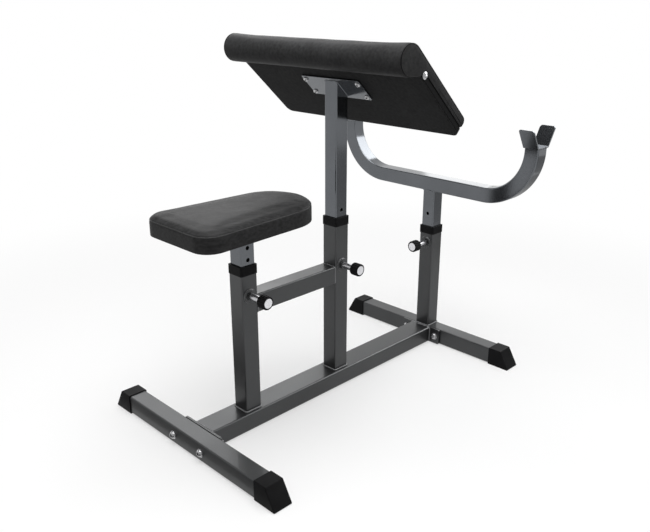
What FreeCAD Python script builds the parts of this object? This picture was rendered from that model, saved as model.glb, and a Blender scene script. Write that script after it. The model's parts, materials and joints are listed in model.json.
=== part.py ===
import FreeCAD, Part
import math
import os

# Preacher curl bench, in millimetres.
# +X runs from the seat to the bar rack, +Y to the sitter's left, +Z up.
# The origin is on the floor, under the centre of the bench's box.

# Frame tubes
tube_size = 50.0
tube_wall = 2.0
tube_corner = 4.0
least_corner = 0.4
beam_width = 75.0
beam_wall = 2.5
beam_corner = 5.0
crossbar_spacing = 947.0
crossbar_end_y = 292.0
brace_axis_z = 349.0

# Foot caps
cap_wall = 2.5
cap_lap = 28.0
cap_end_wall = 12.0
cap_toe = 32.0
cap_edge = 3.0

# End plates and the bolts that hold the crossbars
plate_bolt_edge = 17.5
plate_thickness = 6.0
plate_corner = 4.0
frame_bolt_offset = 20.0
frame_bolt_diameter = 10.0
frame_bolt_head_diameter = 20.0
frame_bolt_head_height = 6.5
frame_bolt_tail = 3.0
frame_washer_diameter = 23.0
frame_washer_thickness = 2.0
frame_nut_flats = 17.0
frame_nut_height = 8.0
bolt_hole_clearance = 0.5
thread_clearance = 0.05

# Posts: each inner post slides in an outer tube on a plastic bush
slider_gap = 1.0
slider_wall = 2.0
slider_corner = 4.0
seat_post_offset = 175.0
pad_post_offset = 507.0
seat_collar_top = 456.0
pad_collar_top = 513.0
rack_collar_top = 392.5
collar_height = 24.0
collar_wall = 1.6
collar_corner = 5.0
collar_lip = 3.0
bush_depth = 34.0
slide_clearance = 0.3
plug_flange_thickness = 4.0
plug_depth = 22.0
plug_wall = 1.6
seat_post_foot = 200.0
pad_post_foot = 216.0
rack_post_foot = 151.0

# Adjusting holes
hole_pitch = 31.5
rack_hole_pitch = 47.25
hole_clearance = 0.5
seat_hole_count_below = 4
seat_hole_count_above = 4
pad_hole_count_below = 3
pad_hole_count_above = 5
rack_hole_count_below = 3
rack_hole_count_above = 2
seat_pin_z = 376.0
pad_pin_z = 375.0
rack_pin_z = 339.0

# Pull pins, measured outwards from the face of the outer post
pin_diameter = 10.0
pin_tip_clearance = 0.5
pin_travel = 12.0
pin_clearance = 0.2
pin_collar_clearance = 0.3
pin_collar_thickness = 3.0
rod_diameter = 8.0
boss_flange = 7.0
boss_thickness = 4.0
boss_hub_wall = 2.0
boss_hub_height = 5.0
barrel_wall = 3.0
barrel_end_wall = 3.0
spring_wire_diameter = 1.2
spring_side_gap = 0.4
spring_length = 24.5
spring_turns = 7
spring_clearance = 0.15
knob_diameter = 35.0
knob_lap = 2.0
knob_stop_gap = 3.0
knob_hollow_clearance = 0.5
knob_floor = 8.0
knob_edge = 2.5
knob_flutes = 14
knob_flute_diameter = 5.0
knob_flute_depth = 1.6
rod_seat_depth = 5.0
knob_rim = 5.0
disc_recess = 1.0
disc_thickness = 1.2

# Seat
seat_underside_z = 552.0
seat_length = 397.5
seat_rear_half_width = 124.5
seat_front_radius = 108.5
seat_rear_corner = 46.0
seat_least_corner = 10.0
seat_seam_height = 38.0
seat_shoulder_height = 11.0
seat_crown_rise = 4.0
seat_seam_pinch = 2.5
seat_band_bulge = 1.5
seat_crown_inset = 60.0
seat_board_thickness = 12.0
seat_board_inset = 6.0
seat_plate_length = 160.0
seat_plate_width = 110.0
seat_plate_thickness = 6.0
seat_bolt_end_edge = 18.0
seat_bolt_side_edge = 15.0

# Arm pad, in its own tilted frame: u down the slope, n out of the arm face
pad_tilt = 43.0
pad_level = 862.5
pad_half_width = 312.0
pad_low_end = 159.5
pad_arm_face = 44.0
pad_crown = 2.5
pad_low_corner = 15.0
pad_edge_round = 8.0
pad_low_round = 10.0
roll_center_u = -119.25
roll_center_n = 6.0
pad_board_thickness = 22.0
pad_board_setback = 1.0
pad_plate_width = 205.0
pad_plate_height = 75.0
pad_plate_center_u = 2.5
pad_plate_thickness = 5.0
pad_plate_corner = 4.0
pad_bolt_side_edge = 9.5
pad_bolt_row_edge = 12.5
stud_u = -58.5
stud_n = 13.0
stud_head_diameter = 18.0
stud_head_height = 5.0
stud_shank_diameter = 8.0
stud_shank_length = 22.0

# Bolts and tee nuts of the seat and the arm pad
cushion_bolt_diameter = 8.0
cushion_bolt_head_diameter = 15.0
cushion_bolt_head_height = 5.0
cushion_bolt_end_gap = 2.0
cushion_washer_diameter = 18.0
cushion_washer_thickness = 1.6
tee_nut_flange_diameter = 20.0
tee_nut_flange_thickness = 1.5
tee_nut_barrel_diameter = 10.0
tee_nut_end_gap = 1.5

# Bar rack
rack_bar_size = 45.0
rack_bar_wall = 2.0
rack_bar_corner = 4.0
rack_bar_bottom_z = 507.0
rack_bend_radius = 147.5
rack_arm_y = 342.5
rack_arm_straight = 10.0
catch_base_length = 54.0
catch_thickness = 4.0
catch_width = 47.0
catch_height = 55.0
catch_wing_run = 34.0
catch_tip_corner = 8.0

# Places worked out from the sizes above
X_AXIS = FreeCAD.Vector(1, 0, 0)
Y_AXIS = FreeCAD.Vector(0, 1, 0)
Z_AXIS = FreeCAD.Vector(0, 0, 1)
half_tube = tube_size / 2
beam_height = tube_size
plate_height = beam_height
tube_bore = tube_size - 2 * tube_wall
tube_bore_corner = max(tube_corner - tube_wall, least_corner)
slider_size = tube_bore - 2 * slider_gap
slider_bore = slider_size - 2 * slider_wall
slider_bore_corner = max(slider_corner - slider_wall, least_corner)
rear_reach = half_tube + frame_washer_thickness + frame_bolt_head_height
catch_reach = catch_base_length / 2 + catch_wing_run
rear_x = rear_reach - (rear_reach + crossbar_spacing + catch_reach) / 2
front_x = rear_x + crossbar_spacing
seat_x = rear_x + seat_post_offset
pad_x = rear_x + pad_post_offset
base_z = cap_wall
tube_top_z = base_z + tube_size
beam_top_z = base_z + beam_height
frame_bolt_z = base_z + half_tube
frame_bolt_y = beam_width / 2 + frame_bolt_offset
plate_width = 2 * (frame_bolt_y + plate_bolt_edge)
cap_start_y = crossbar_end_y - cap_lap
cap_top_end_y = crossbar_end_y + cap_end_wall
cap_foot_end_y = cap_top_end_y + cap_toe
seat_bolt_x = seat_plate_length / 2 - seat_bolt_end_edge
seat_bolt_y = seat_plate_width / 2 - seat_bolt_side_edge
roll_radius = pad_arm_face - roll_center_n
pad_board_top_u = roll_center_u + roll_radius + slide_clearance
pad_board_low_u = pad_low_end - pad_board_setback
pad_bolt_y = pad_plate_width / 2 - pad_bolt_side_edge
pad_bolt_rise = pad_plate_height / 2 - pad_bolt_row_edge
rack_axis_z = rack_bar_bottom_z + rack_bar_size / 2
rack_bend_z = rack_axis_z + rack_bend_radius
rack_arm_top_z = rack_bend_z + rack_arm_straight
hole_diameter = pin_diameter + 2 * hole_clearance
barrel_bore = rod_diameter + 2 * (spring_wire_diameter + 2 * spring_side_gap)
barrel_diameter = barrel_bore + 2 * barrel_wall
boss_hub_diameter = barrel_diameter + 2 * boss_hub_wall
boss_diameter = boss_hub_diameter + 2 * boss_flange
spring_mean_diameter = (barrel_bore + rod_diameter) / 2
pin_collar_diameter = barrel_bore - 2 * pin_collar_clearance
disc_diameter = knob_diameter - 2 * knob_rim
collar_start = boss_thickness + pin_travel + pin_clearance
collar_end = collar_start + pin_collar_thickness
bore_end = collar_end + spring_length + 2 * spring_clearance
barrel_end = bore_end + barrel_end_wall
knob_back = barrel_end - knob_lap
knob_hollow_depth = knob_lap + pin_travel + knob_stop_gap
knob_length = knob_hollow_depth + knob_floor
rod_end = knob_back + knob_hollow_depth + rod_seat_depth
pad_frame = FreeCAD.Placement(
    FreeCAD.Vector(pad_x, 0, pad_level), FreeCAD.Rotation(Y_AXIS, pad_tilt))


def vector(x, y, z):
    return FreeCAD.Vector(x, y, z)


def line(start, end):
    return Part.LineSegment(start, end).toShape()


def arc(start, middle, end):
    return Part.Arc(start, middle, end).toShape()


def rounded_rectangle(center, along, across, width, height, radius):
    """Closed outline in the plane of two unit vectors."""
    edges = []
    starts = []
    ends = []
    for corner, (side, rise) in enumerate(((1, 1), (-1, 1), (-1, -1), (1, -1))):
        middle = center + along * side * (width / 2 - radius) + across * rise * (height / 2 - radius)
        points = []
        for share in (0.0, 0.5, 1.0):
            angle = math.radians(90 * (corner + share))
            points.append(middle + along * radius * math.cos(angle) + across * radius * math.sin(angle))
        edges.append(arc(*points))
        starts.append(points[0])
        ends.append(points[2])
    for corner in range(4):
        edges.append(line(ends[corner], starts[(corner + 1) % 4]))
    return Part.Wire(Part.__sortEdges__(edges))


def bar(center, along, across, run, width, height, radius):
    """Solid bar whose section is centred on one end."""
    outline = rounded_rectangle(center, along, across, width, height, radius)
    return Part.Face(outline).extrude(run)


def tube(center, along, across, run, width, height, radius, wall):
    outer = bar(center, along, across, run, width, height, radius)
    corner = max(radius - wall, least_corner)
    inner = bar(center, along, across, run, width - 2 * wall, height - 2 * wall, corner)
    return outer.cut(inner)


def cylinder(base, direction, diameter, length):
    return Part.makeCylinder(diameter / 2, length, base, direction)


def aim(shape, base, direction):
    """Carry a shape built along +Z to a place and a direction."""
    moved = shape.copy()
    turned = FreeCAD.Placement(base, FreeCAD.Rotation(Z_AXIS, direction))
    moved.Placement = turned.multiply(moved.Placement)
    return moved


def domed_head(diameter, height):
    """Domed bolt head on the XY plane, round side up."""
    rim = height / 4
    radius = diameter / 2
    rise = height - rim
    dome_radius = (radius ** 2 + rise ** 2) / (2 * rise)
    half_angle = math.asin(radius / dome_radius) / 2
    middle = vector(dome_radius * math.sin(half_angle), 0, height - dome_radius * (1 - math.cos(half_angle)))
    edges = [
        line(vector(0, 0, 0), vector(radius, 0, 0)),
        line(vector(radius, 0, 0), vector(radius, 0, rim)),
        arc(vector(radius, 0, rim), middle, vector(0, 0, height)),
        line(vector(0, 0, height), vector(0, 0, 0)),
    ]
    return Part.Face(Part.Wire(edges)).revolve(vector(0, 0, 0), Z_AXIS, 360)


def domed_bolt(diameter, length, head_diameter, head_height):
    """Bolt along +Z: the head lies below the XY plane, the shank above it."""
    head = aim(domed_head(head_diameter, head_height), vector(0, 0, 0), vector(0, 0, -1))
    return head.fuse(cylinder(vector(0, 0, 0), Z_AXIS, diameter, length)).removeSplitter()


def washer(diameter, bore, thickness):
    ring = cylinder(vector(0, 0, 0), Z_AXIS, diameter, thickness)
    return ring.cut(cylinder(vector(0, 0, 0), Z_AXIS, bore, thickness))


def hex_nut(flats, height, bore):
    corner_radius = flats / math.sqrt(3)
    corners = []
    for index in range(7):
        angle = math.radians(60 * index)
        corners.append(vector(corner_radius * math.cos(angle), corner_radius * math.sin(angle), 0))
    prism = Part.Face(Part.makePolygon(corners)).extrude(vector(0, 0, height))
    rounded = Part.makeCone(flats / 2 + height, flats / 2, height + flats / 2)
    bored = prism.common(rounded)
    return bored.cut(cylinder(vector(0, 0, 0), Z_AXIS, bore, height))


def tee_nut(board_thickness):
    """Tee nut whose flange top is on the XY plane, with its barrel below."""
    flange = cylinder(
        vector(0, 0, -tee_nut_flange_thickness), Z_AXIS, tee_nut_flange_diameter, tee_nut_flange_thickness)
    depth = board_thickness - tee_nut_end_gap
    barrel = cylinder(vector(0, 0, -depth), Z_AXIS, tee_nut_barrel_diameter, depth)
    bore = cylinder(vector(0, 0, -depth), Z_AXIS, cushion_bolt_diameter + 2 * thread_clearance, depth)
    return flange.fuse(barrel).removeSplitter().cut(bore)


def biarc(start, start_way, end, end_way):
    """Two arcs that leave one point and reach another along given unit vectors."""
    gap = end - start
    ways = start_way + end_way
    a = ways.dot(ways) - 4
    b = -2 * gap.dot(ways)
    c = gap.dot(gap)
    reach = (-b - math.sqrt(b * b - 4 * a * c)) / (2 * a)
    if reach < 0:
        reach = (-b + math.sqrt(b * b - 4 * a * c)) / (2 * a)
    first = start + start_way * reach
    second = end - end_way * reach
    joint = (first + second) * 0.5
    arcs = []
    for begin, control, finish in ((start, first, joint), (joint, second, end)):
        weight = (finish - begin).Length / 2 / (control - begin).Length
        middle = (begin + finish + control * 2 * weight) * (1 / (2 + 2 * weight))
        arcs.append(arc(begin, middle, finish))
    return arcs


def coil(length):
    """Compression spring along +Z, from the XY plane up."""
    radius = spring_mean_diameter / 2
    wire_radius = spring_wire_diameter / 2
    climb = length - spring_wire_diameter
    steps = 4 * spring_turns
    slope = climb / (2 * math.pi * spring_turns)
    scale = 1 / math.hypot(radius, slope)

    def point(step):
        angle = math.pi / 2 * step
        return vector(radius * math.cos(angle), radius * math.sin(angle), wire_radius + slope * angle)

    def way(step):
        angle = math.pi / 2 * step
        return vector(-radius * math.sin(angle) * scale, radius * math.cos(angle) * scale, slope * scale)

    edges = []
    for step in range(steps):
        edges.extend(biarc(point(step), way(step), point(step + 1), way(step + 1)))
    section = Part.Wire([Part.makeCircle(wire_radius, point(0), way(0))])
    return Part.Wire(edges).makePipeShell([section], True, False)


def spring_gap(length):
    """Least gap between neighbouring turns, measured on points a turn apart."""
    climb = length - spring_wire_diameter
    rise = climb / spring_turns
    radius = spring_mean_diameter / 2
    gaps = []
    for step in range(60, 101):
        turn = step / 80
        chord = 2 * radius * math.sin(math.pi * turn)
        gaps.append(math.hypot(chord, rise * turn) - spring_wire_diameter)
    return min(gaps)


def bench_beam():
    start_x = rear_x + half_tube + plate_thickness
    end_x = front_x - half_tube - plate_thickness
    center = vector(start_x, 0, base_z + beam_height / 2)
    run = vector(end_x - start_x, 0, 0)
    return tube(center, Y_AXIS, Z_AXIS, run, beam_width, beam_height, beam_corner, beam_wall)


def frame_bolt_hole(x, side, length):
    base = vector(x, side * frame_bolt_y, frame_bolt_z)
    return cylinder(base, X_AXIS, frame_bolt_diameter + 2 * bolt_hole_clearance, length)


def end_plate(x):
    center = vector(x, 0, base_z + plate_height / 2)
    run = vector(plate_thickness, 0, 0)
    plate = bar(center, Y_AXIS, Z_AXIS, run, plate_width, plate_height, plate_corner)
    for side in (-1, 1):
        plate = plate.cut(frame_bolt_hole(x, side, plate_thickness))
    return plate


def crossbar(x):
    center = vector(x, -crossbar_end_y, base_z + half_tube)
    run = vector(0, 2 * crossbar_end_y, 0)
    shape = tube(center, X_AXIS, Z_AXIS, run, tube_size, tube_size, tube_corner, tube_wall)
    for side in (-1, 1):
        shape = shape.cut(frame_bolt_hole(x - half_tube, side, tube_size))
    return shape


def foot_cap(x, side):
    """Plastic foot over a crossbar's end, with a toe that slopes out to the floor."""
    half_width = half_tube + cap_wall
    top_z = tube_top_z + cap_wall
    corners = [
        vector(x - half_width, cap_start_y, 0),
        vector(x - half_width, cap_foot_end_y, 0),
        vector(x - half_width, cap_top_end_y, top_z),
        vector(x - half_width, cap_start_y, top_z),
        vector(x - half_width, cap_start_y, 0),
    ]
    block = Part.Face(Part.makePolygon(corners)).extrude(vector(2 * half_width, 0, 0))
    rounded = []
    for edge in block.Edges:
        if edge.BoundBox.YMax > cap_start_y + cap_edge:
            rounded.append(edge)
    block = block.makeFillet(cap_edge, rounded)
    center = vector(x, cap_start_y, base_z + half_tube)
    run = vector(0, crossbar_end_y - cap_start_y, 0)
    block = block.cut(bar(center, X_AXIS, Z_AXIS, run, tube_size, tube_size, tube_corner))
    if side < 0:
        block = block.mirror(vector(0, 0, 0), Y_AXIS)
    return block


def frame_fasteners():
    """Bolts, washers and nuts of both crossbars, heads towards the seat."""
    bolts = []
    washers = []
    nuts = []
    grip = tube_size + plate_thickness
    length = grip + 2 * frame_washer_thickness + frame_nut_height + frame_bolt_tail
    ring = washer(
        frame_washer_diameter, frame_bolt_diameter + bolt_hole_clearance, frame_washer_thickness)
    bolt = domed_bolt(
        frame_bolt_diameter, length, frame_bolt_head_diameter, frame_bolt_head_height)
    nut = hex_nut(frame_nut_flats, frame_nut_height, frame_bolt_diameter + 2 * thread_clearance)
    for start_x in (rear_x - half_tube, front_x - half_tube - plate_thickness):
        for side in (-1, 1):
            y = side * frame_bolt_y
            head_x = start_x - frame_washer_thickness
            tail_x = start_x + grip
            bolts.append(aim(bolt, vector(head_x, y, frame_bolt_z), X_AXIS))
            washers.append(aim(ring, vector(head_x, y, frame_bolt_z), X_AXIS))
            washers.append(aim(ring, vector(tail_x, y, frame_bolt_z), X_AXIS))
            nuts.append(aim(nut, vector(tail_x + frame_washer_thickness, y, frame_bolt_z), X_AXIS))
    return {"crossbar_bolts": bolts, "crossbar_washers": washers, "crossbar_nuts": nuts}


def outer_post(x, foot_z, collar_top, pin_z, pin_way):
    center = vector(x, 0, foot_z)
    run = vector(0, 0, collar_top - collar_lip - foot_z)
    shape = tube(center, X_AXIS, Y_AXIS, run, tube_size, tube_size, tube_corner, tube_wall)
    return shape.cut(cylinder(vector(x, 0, pin_z), pin_way, pin_diameter + 2 * pin_clearance, tube_size))


def brace_tube():
    start_x = seat_x + half_tube
    run = vector(pad_x - half_tube - start_x, 0, 0)
    center = vector(start_x, 0, brace_axis_z)
    return tube(center, Y_AXIS, Z_AXIS, run, tube_size, tube_size, tube_corner, tube_wall)


def bush(x, collar_top):
    """Collar over an outer post's top, with a thin sleeve down inside it."""
    tube_end = collar_top - collar_lip
    skirt_size = tube_size + 2 * collar_wall
    skirt = bar(
        vector(x, 0, collar_top - collar_height), X_AXIS, Y_AXIS, vector(0, 0, collar_height),
        skirt_size, skirt_size, collar_corner)
    skirt = skirt.cut(bar(
        vector(x, 0, collar_top - collar_height), X_AXIS, Y_AXIS,
        vector(0, 0, collar_height - collar_lip), tube_size, tube_size, tube_corner))
    sleeve = bar(
        vector(x, 0, tube_end - bush_depth), X_AXIS, Y_AXIS, vector(0, 0, bush_depth + collar_lip),
        tube_bore, tube_bore, tube_bore_corner)
    bore_size = slider_size + 2 * slide_clearance
    bore = bar(
        vector(x, 0, tube_end - bush_depth), X_AXIS, Y_AXIS, vector(0, 0, bush_depth + collar_lip),
        bore_size, bore_size, slider_corner)
    return skirt.fuse(sleeve).removeSplitter().cut(bore)


def inner_post(x, foot_z, top_z, pin_z, pin_way, pitch, count_below, count_above):
    center = vector(x, 0, foot_z)
    run = vector(0, 0, top_z - foot_z)
    shape = tube(center, X_AXIS, Y_AXIS, run, slider_size, slider_size, slider_corner, slider_wall)
    for step in range(-int(count_below), int(count_above) + 1):
        middle = vector(x, 0, pin_z + step * pitch)
        shape = shape.cut(cylinder(middle - pin_way * tube_size, pin_way, hole_diameter, 2 * tube_size))
    return shape


def post_plug(x, foot_z):
    """Plastic plug in an inner post's foot: its flange guides the post in the outer tube."""
    flange_size = tube_bore - 2 * slide_clearance
    flange = bar(
        vector(x, 0, foot_z - plug_flange_thickness), X_AXIS, Y_AXIS,
        vector(0, 0, plug_flange_thickness), flange_size, flange_size, tube_bore_corner)
    body = tube(
        vector(x, 0, foot_z), X_AXIS, Y_AXIS, vector(0, 0, plug_depth), slider_bore, slider_bore,
        slider_bore_corner, plug_wall)
    return flange.fuse(body).removeSplitter()


def pin_boss():
    """Round boss on the post's face, along +Z, with the pin's guide bore."""
    disc = cylinder(vector(0, 0, 0), Z_AXIS, boss_diameter, boss_thickness)
    rim = []
    for edge in disc.Edges:
        if len(edge.Vertexes) == 1 and edge.BoundBox.ZMin > boss_thickness / 2:
            rim.append(edge)
    disc = disc.makeChamfer(boss_thickness / 4, rim)
    hub = cylinder(vector(0, 0, boss_thickness), Z_AXIS, boss_hub_diameter, boss_hub_height)
    body = disc.fuse(hub).removeSplitter()
    guide = cylinder(vector(0, 0, 0), Z_AXIS, pin_diameter + 2 * pin_clearance, boss_thickness)
    socket = cylinder(vector(0, 0, boss_thickness), Z_AXIS, barrel_diameter, boss_hub_height)
    return body.cut(guide).cut(socket)


def pin_barrel():
    start = vector(0, 0, boss_thickness)
    length = barrel_end - boss_thickness
    body = cylinder(start, Z_AXIS, barrel_diameter, length)
    bore = cylinder(start, Z_AXIS, barrel_bore, bore_end - boss_thickness)
    rod_hole = cylinder(start, Z_AXIS, rod_diameter + 2 * pin_clearance, length)
    return body.cut(bore).cut(rod_hole)


def pin_spring():
    lifted = coil(spring_length)
    lifted.translate(vector(0, 0, collar_end + spring_clearance))
    return lifted


def pull_pin():
    """Pin in its pulled place: its tip is just clear of the inner post."""
    tip = -(half_tube - slider_size / 2 - pin_tip_clearance)
    body = cylinder(vector(0, 0, tip), Z_AXIS, pin_diameter, collar_start - tip)
    collar = cylinder(vector(0, 0, collar_start), Z_AXIS, pin_collar_diameter, pin_collar_thickness)
    rod = cylinder(vector(0, 0, collar_end), Z_AXIS, rod_diameter, rod_end - collar_end)
    return body.fuse([collar, rod]).removeSplitter()


def pin_knob():
    """Fluted knob, hollow behind, that slides over the barrel."""
    body = cylinder(vector(0, 0, knob_back), Z_AXIS, knob_diameter, knob_length)
    rims = [edge for edge in body.Edges if abs(edge.Length - math.pi * knob_diameter) < knob_edge]
    body = body.makeFillet(knob_edge, rims)
    reach = (knob_diameter + knob_flute_diameter) / 2 - knob_flute_depth
    flutes = []
    for index in range(knob_flutes):
        angle = 2 * math.pi * index / knob_flutes
        base = vector(reach * math.cos(angle), reach * math.sin(angle), knob_back)
        flutes.append(cylinder(base, Z_AXIS, knob_flute_diameter, knob_length))
    body = body.cut(flutes)
    hollow = cylinder(
        vector(0, 0, knob_back), Z_AXIS, barrel_diameter + 2 * knob_hollow_clearance, knob_hollow_depth)
    rod_seat = cylinder(vector(0, 0, knob_back), Z_AXIS, rod_diameter, rod_end - knob_back)
    recess = cylinder(
        vector(0, 0, knob_back + knob_length - disc_recess), Z_AXIS, disc_diameter, disc_recess)
    return body.cut([hollow, rod_seat, recess])


def knob_disc():
    base = vector(0, 0, knob_back + knob_length - disc_recess)
    return cylinder(base, Z_AXIS, disc_diameter, disc_thickness)


def seat_outline(inset, z):
    """Seat outline: square rear corners rounded, tapered sides and a round front."""
    rear = seat_x - seat_length / 2 + inset
    corner = max(seat_rear_corner - inset, seat_least_corner)
    corner_x = rear + corner
    corner_y = seat_rear_half_width - inset - corner
    front = seat_front_radius - inset
    front_x_center = seat_x + seat_length / 2 - seat_front_radius
    gap = math.hypot(front_x_center - corner_x, corner_y)
    lean = math.atan2(-corner_y, front_x_center - corner_x)
    normal = lean + math.acos((corner - front) / gap)

    def on_corner(angle, side):
        return vector(corner_x + corner * math.cos(angle), side * (corner_y + corner * math.sin(angle)), z)

    def on_front(angle, side):
        return vector(front_x_center + front * math.cos(angle), side * front * math.sin(angle), z)

    half_corner = (normal + math.pi) / 2
    nose = vector(front_x_center + front, 0, z)
    edges = [line(on_corner(math.pi, -1), on_corner(math.pi, 1))]
    edges.append(arc(on_corner(math.pi, 1), on_corner(half_corner, 1), on_corner(normal, 1)))
    edges.append(line(on_corner(normal, 1), on_front(normal, 1)))
    edges.append(arc(on_front(normal, 1), on_front(normal / 2, 1), nose))
    edges.append(arc(nose, on_front(normal / 2, -1), on_front(normal, -1)))
    edges.append(line(on_front(normal, -1), on_corner(normal, -1)))
    edges.append(arc(on_corner(normal, -1), on_corner(half_corner, -1), on_corner(math.pi, -1)))
    return Part.Wire(edges)


def seat_board():
    outline = seat_outline(seat_board_inset, seat_underside_z)
    board = Part.Face(outline).extrude(vector(0, 0, seat_board_thickness))
    for place in seat_bolt_places():
        board = board.cut(cylinder(place, Z_AXIS, tee_nut_barrel_diameter, seat_board_thickness))
        top = place + vector(0, 0, seat_board_thickness - tee_nut_flange_thickness)
        board = board.cut(cylinder(top, Z_AXIS, tee_nut_flange_diameter, tee_nut_flange_thickness))
    return board


def seat_cushion():
    """Upright band, a drawn-in seam and a crowned top."""
    seam_z = seat_seam_height
    round_z = seam_z + seat_seam_pinch
    rise = seat_shoulder_height - seat_seam_pinch
    edge_z = round_z + rise
    crown_z = edge_z + seat_crown_rise
    levels = [
        (seat_band_bulge, 0.0),
        (0.0, seat_band_bulge * 2),
        (0.0, seam_z - seat_seam_pinch * 2),
        (seat_seam_pinch, seam_z),
        (seat_seam_pinch / 2, round_z),
    ]
    for step in range(1, 5):
        angle = math.radians(22.5 * step)
        inset = seat_seam_pinch / 2 + seat_shoulder_height * (1 - math.cos(angle))
        levels.append((inset, round_z + rise * math.sin(angle)))
    levels.append(((levels[-1][0] + seat_crown_inset) / 2, (edge_z + 2 * crown_z) / 3))
    levels.append((seat_crown_inset, crown_z))
    outlines = [seat_outline(inset, seat_underside_z + height) for inset, height in levels]
    form = Part.makeLoft(outlines, True, True)
    pocket = Part.Face(seat_outline(seat_board_inset, seat_underside_z))
    return form.cut(pocket.extrude(vector(0, 0, seat_board_thickness)))


def seat_bolt_places():
    places = []
    for x_side in (-1, 1):
        for y_side in (-1, 1):
            places.append(vector(seat_x + x_side * seat_bolt_x, y_side * seat_bolt_y, seat_underside_z))
    return places


def seat_mount_plate():
    bottom = seat_underside_z - seat_plate_thickness
    plate = bar(
        vector(seat_x, 0, bottom), X_AXIS, Y_AXIS, vector(0, 0, seat_plate_thickness),
        seat_plate_length, seat_plate_width, plate_corner)
    for place in seat_bolt_places():
        base = vector(place.x, place.y, bottom)
        bore = cushion_bolt_diameter + 2 * bolt_hole_clearance
        plate = plate.cut(cylinder(base, Z_AXIS, bore, seat_plate_thickness))
    return plate


def seat_fasteners():
    grip = cushion_washer_thickness + seat_plate_thickness
    length = grip + seat_board_thickness - cushion_bolt_end_gap
    bolt = domed_bolt(
        cushion_bolt_diameter, length, cushion_bolt_head_diameter, cushion_bolt_head_height)
    ring = washer(
        cushion_washer_diameter, cushion_bolt_diameter + bolt_hole_clearance, cushion_washer_thickness)
    bolts = []
    washers = []
    nuts = []
    for place in seat_bolt_places():
        bolts.append(aim(bolt, place - vector(0, 0, grip), Z_AXIS))
        washers.append(aim(ring, place - vector(0, 0, grip), Z_AXIS))
        nuts.append(aim(tee_nut(seat_board_thickness), place + vector(0, 0, seat_board_thickness), Z_AXIS))
    return {"seat_bolts": bolts, "seat_washers": washers, "seat_tee_nuts": nuts}


def on_pad(shape):
    """Carry a shape from the arm pad's own frame to its place on the bench."""
    moved = shape.copy()
    moved.Placement = pad_frame.multiply(moved.Placement)
    return moved


def pad_section(y, edge_inset, low_inset, crown):
    """Arm pad profile across the bench: flat arm face, rounded low end and a roll on top."""
    face = pad_arm_face - edge_inset + crown
    low = pad_low_end - low_inset
    low_round = pad_low_round - edge_inset / 2
    radius = roll_radius - edge_inset + crown
    back = pad_board_thickness
    crease_u = roll_center_u + math.sqrt(radius ** 2 - roll_center_n ** 2)
    slant = math.sqrt(0.5)

    def spot(u, n):
        return vector(u, y, n)

    def on_roll(degrees):
        angle = math.radians(degrees)
        return spot(roll_center_u + radius * math.cos(angle), roll_center_n + radius * math.sin(angle))

    crease_angle = 360 - math.degrees(math.asin(roll_center_n / radius))
    edges = [
        line(spot(crease_u, back), spot(low, back)),
        line(spot(low, back), spot(low, face - low_round)),
        arc(
            spot(low, face - low_round),
            spot(low - low_round * (1 - slant), face - low_round * (1 - slant)),
            spot(low - low_round, face)),
        line(spot(low - low_round, face), on_roll(90)),
        arc(on_roll(90), on_roll(135), on_roll(180)),
        arc(on_roll(180), on_roll(225), on_roll(270)),
        arc(on_roll(270), on_roll((270 + crease_angle) / 2), on_roll(crease_angle)),
        line(on_roll(crease_angle), spot(crease_u, back)),
    ]
    return Part.Wire(edges)


def pad_cushion():
    """Padded cover, crowned across the bench and rounded at both sides."""
    stations = [0.0, pad_half_width / 2]
    for step in range(5):
        angle = math.radians(22.5 * step)
        stations.append(pad_half_width - pad_low_corner * (1 - math.sin(angle)))
    sections = []
    for y in [-station for station in reversed(stations[1:])] + stations:
        corner_run = max(0.0, abs(y) - (pad_half_width - pad_low_corner))
        edge_run = max(0.0, abs(y) - (pad_half_width - pad_edge_round))
        low_inset = pad_low_corner - math.sqrt(pad_low_corner ** 2 - corner_run ** 2)
        edge_inset = pad_edge_round - math.sqrt(pad_edge_round ** 2 - edge_run ** 2)
        crown = pad_crown * (1 - (y / pad_half_width) ** 2)
        sections.append(pad_section(y, edge_inset, low_inset, crown))
    form = Part.makeLoft(sections, True, True)
    return on_pad(form.cut(pad_board_block()))


def pad_bolt_places():
    """Bolt axes in the pad's own frame, on the back of its board."""
    places = []
    for row in (-1, 1):
        for side in (-1, 1):
            places.append(vector(pad_plate_center_u + row * pad_bolt_rise, side * pad_bolt_y, 0))
    return places


def pad_board_block():
    half_width = pad_half_width - pad_board_setback
    length = pad_board_low_u - pad_board_top_u
    return Part.makeBox(
        length, 2 * half_width, pad_board_thickness, vector(pad_board_top_u, -half_width, 0))


def pad_board():
    board = pad_board_block()
    low_corners = []
    for edge in board.Edges:
        upright = edge.BoundBox.ZLength > pad_board_thickness / 2
        if upright and edge.BoundBox.XMin > pad_board_top_u + pad_low_corner:
            low_corners.append(edge)
    board = board.makeFillet(pad_low_corner, low_corners)
    for place in pad_bolt_places():
        board = board.cut(cylinder(place, Z_AXIS, tee_nut_barrel_diameter, pad_board_thickness))
        top = place + vector(0, 0, pad_board_thickness - tee_nut_flange_thickness)
        board = board.cut(cylinder(top, Z_AXIS, tee_nut_flange_diameter, tee_nut_flange_thickness))
    for side in (-1, 1):
        base = vector(stud_u, side * pad_half_width, stud_n)
        board = board.cut(cylinder(base, Y_AXIS * -side, stud_shank_diameter, stud_shank_length))
    return on_pad(board)


def pad_mount_plate():
    plate = bar(
        vector(pad_plate_center_u, 0, -pad_plate_thickness), X_AXIS, Y_AXIS,
        vector(0, 0, pad_plate_thickness), pad_plate_height, pad_plate_width, pad_plate_corner)
    for place in pad_bolt_places():
        base = place - vector(0, 0, pad_plate_thickness)
        bore = cushion_bolt_diameter + 2 * bolt_hole_clearance
        plate = plate.cut(cylinder(base, Z_AXIS, bore, pad_plate_thickness))
    return on_pad(plate)


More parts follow.
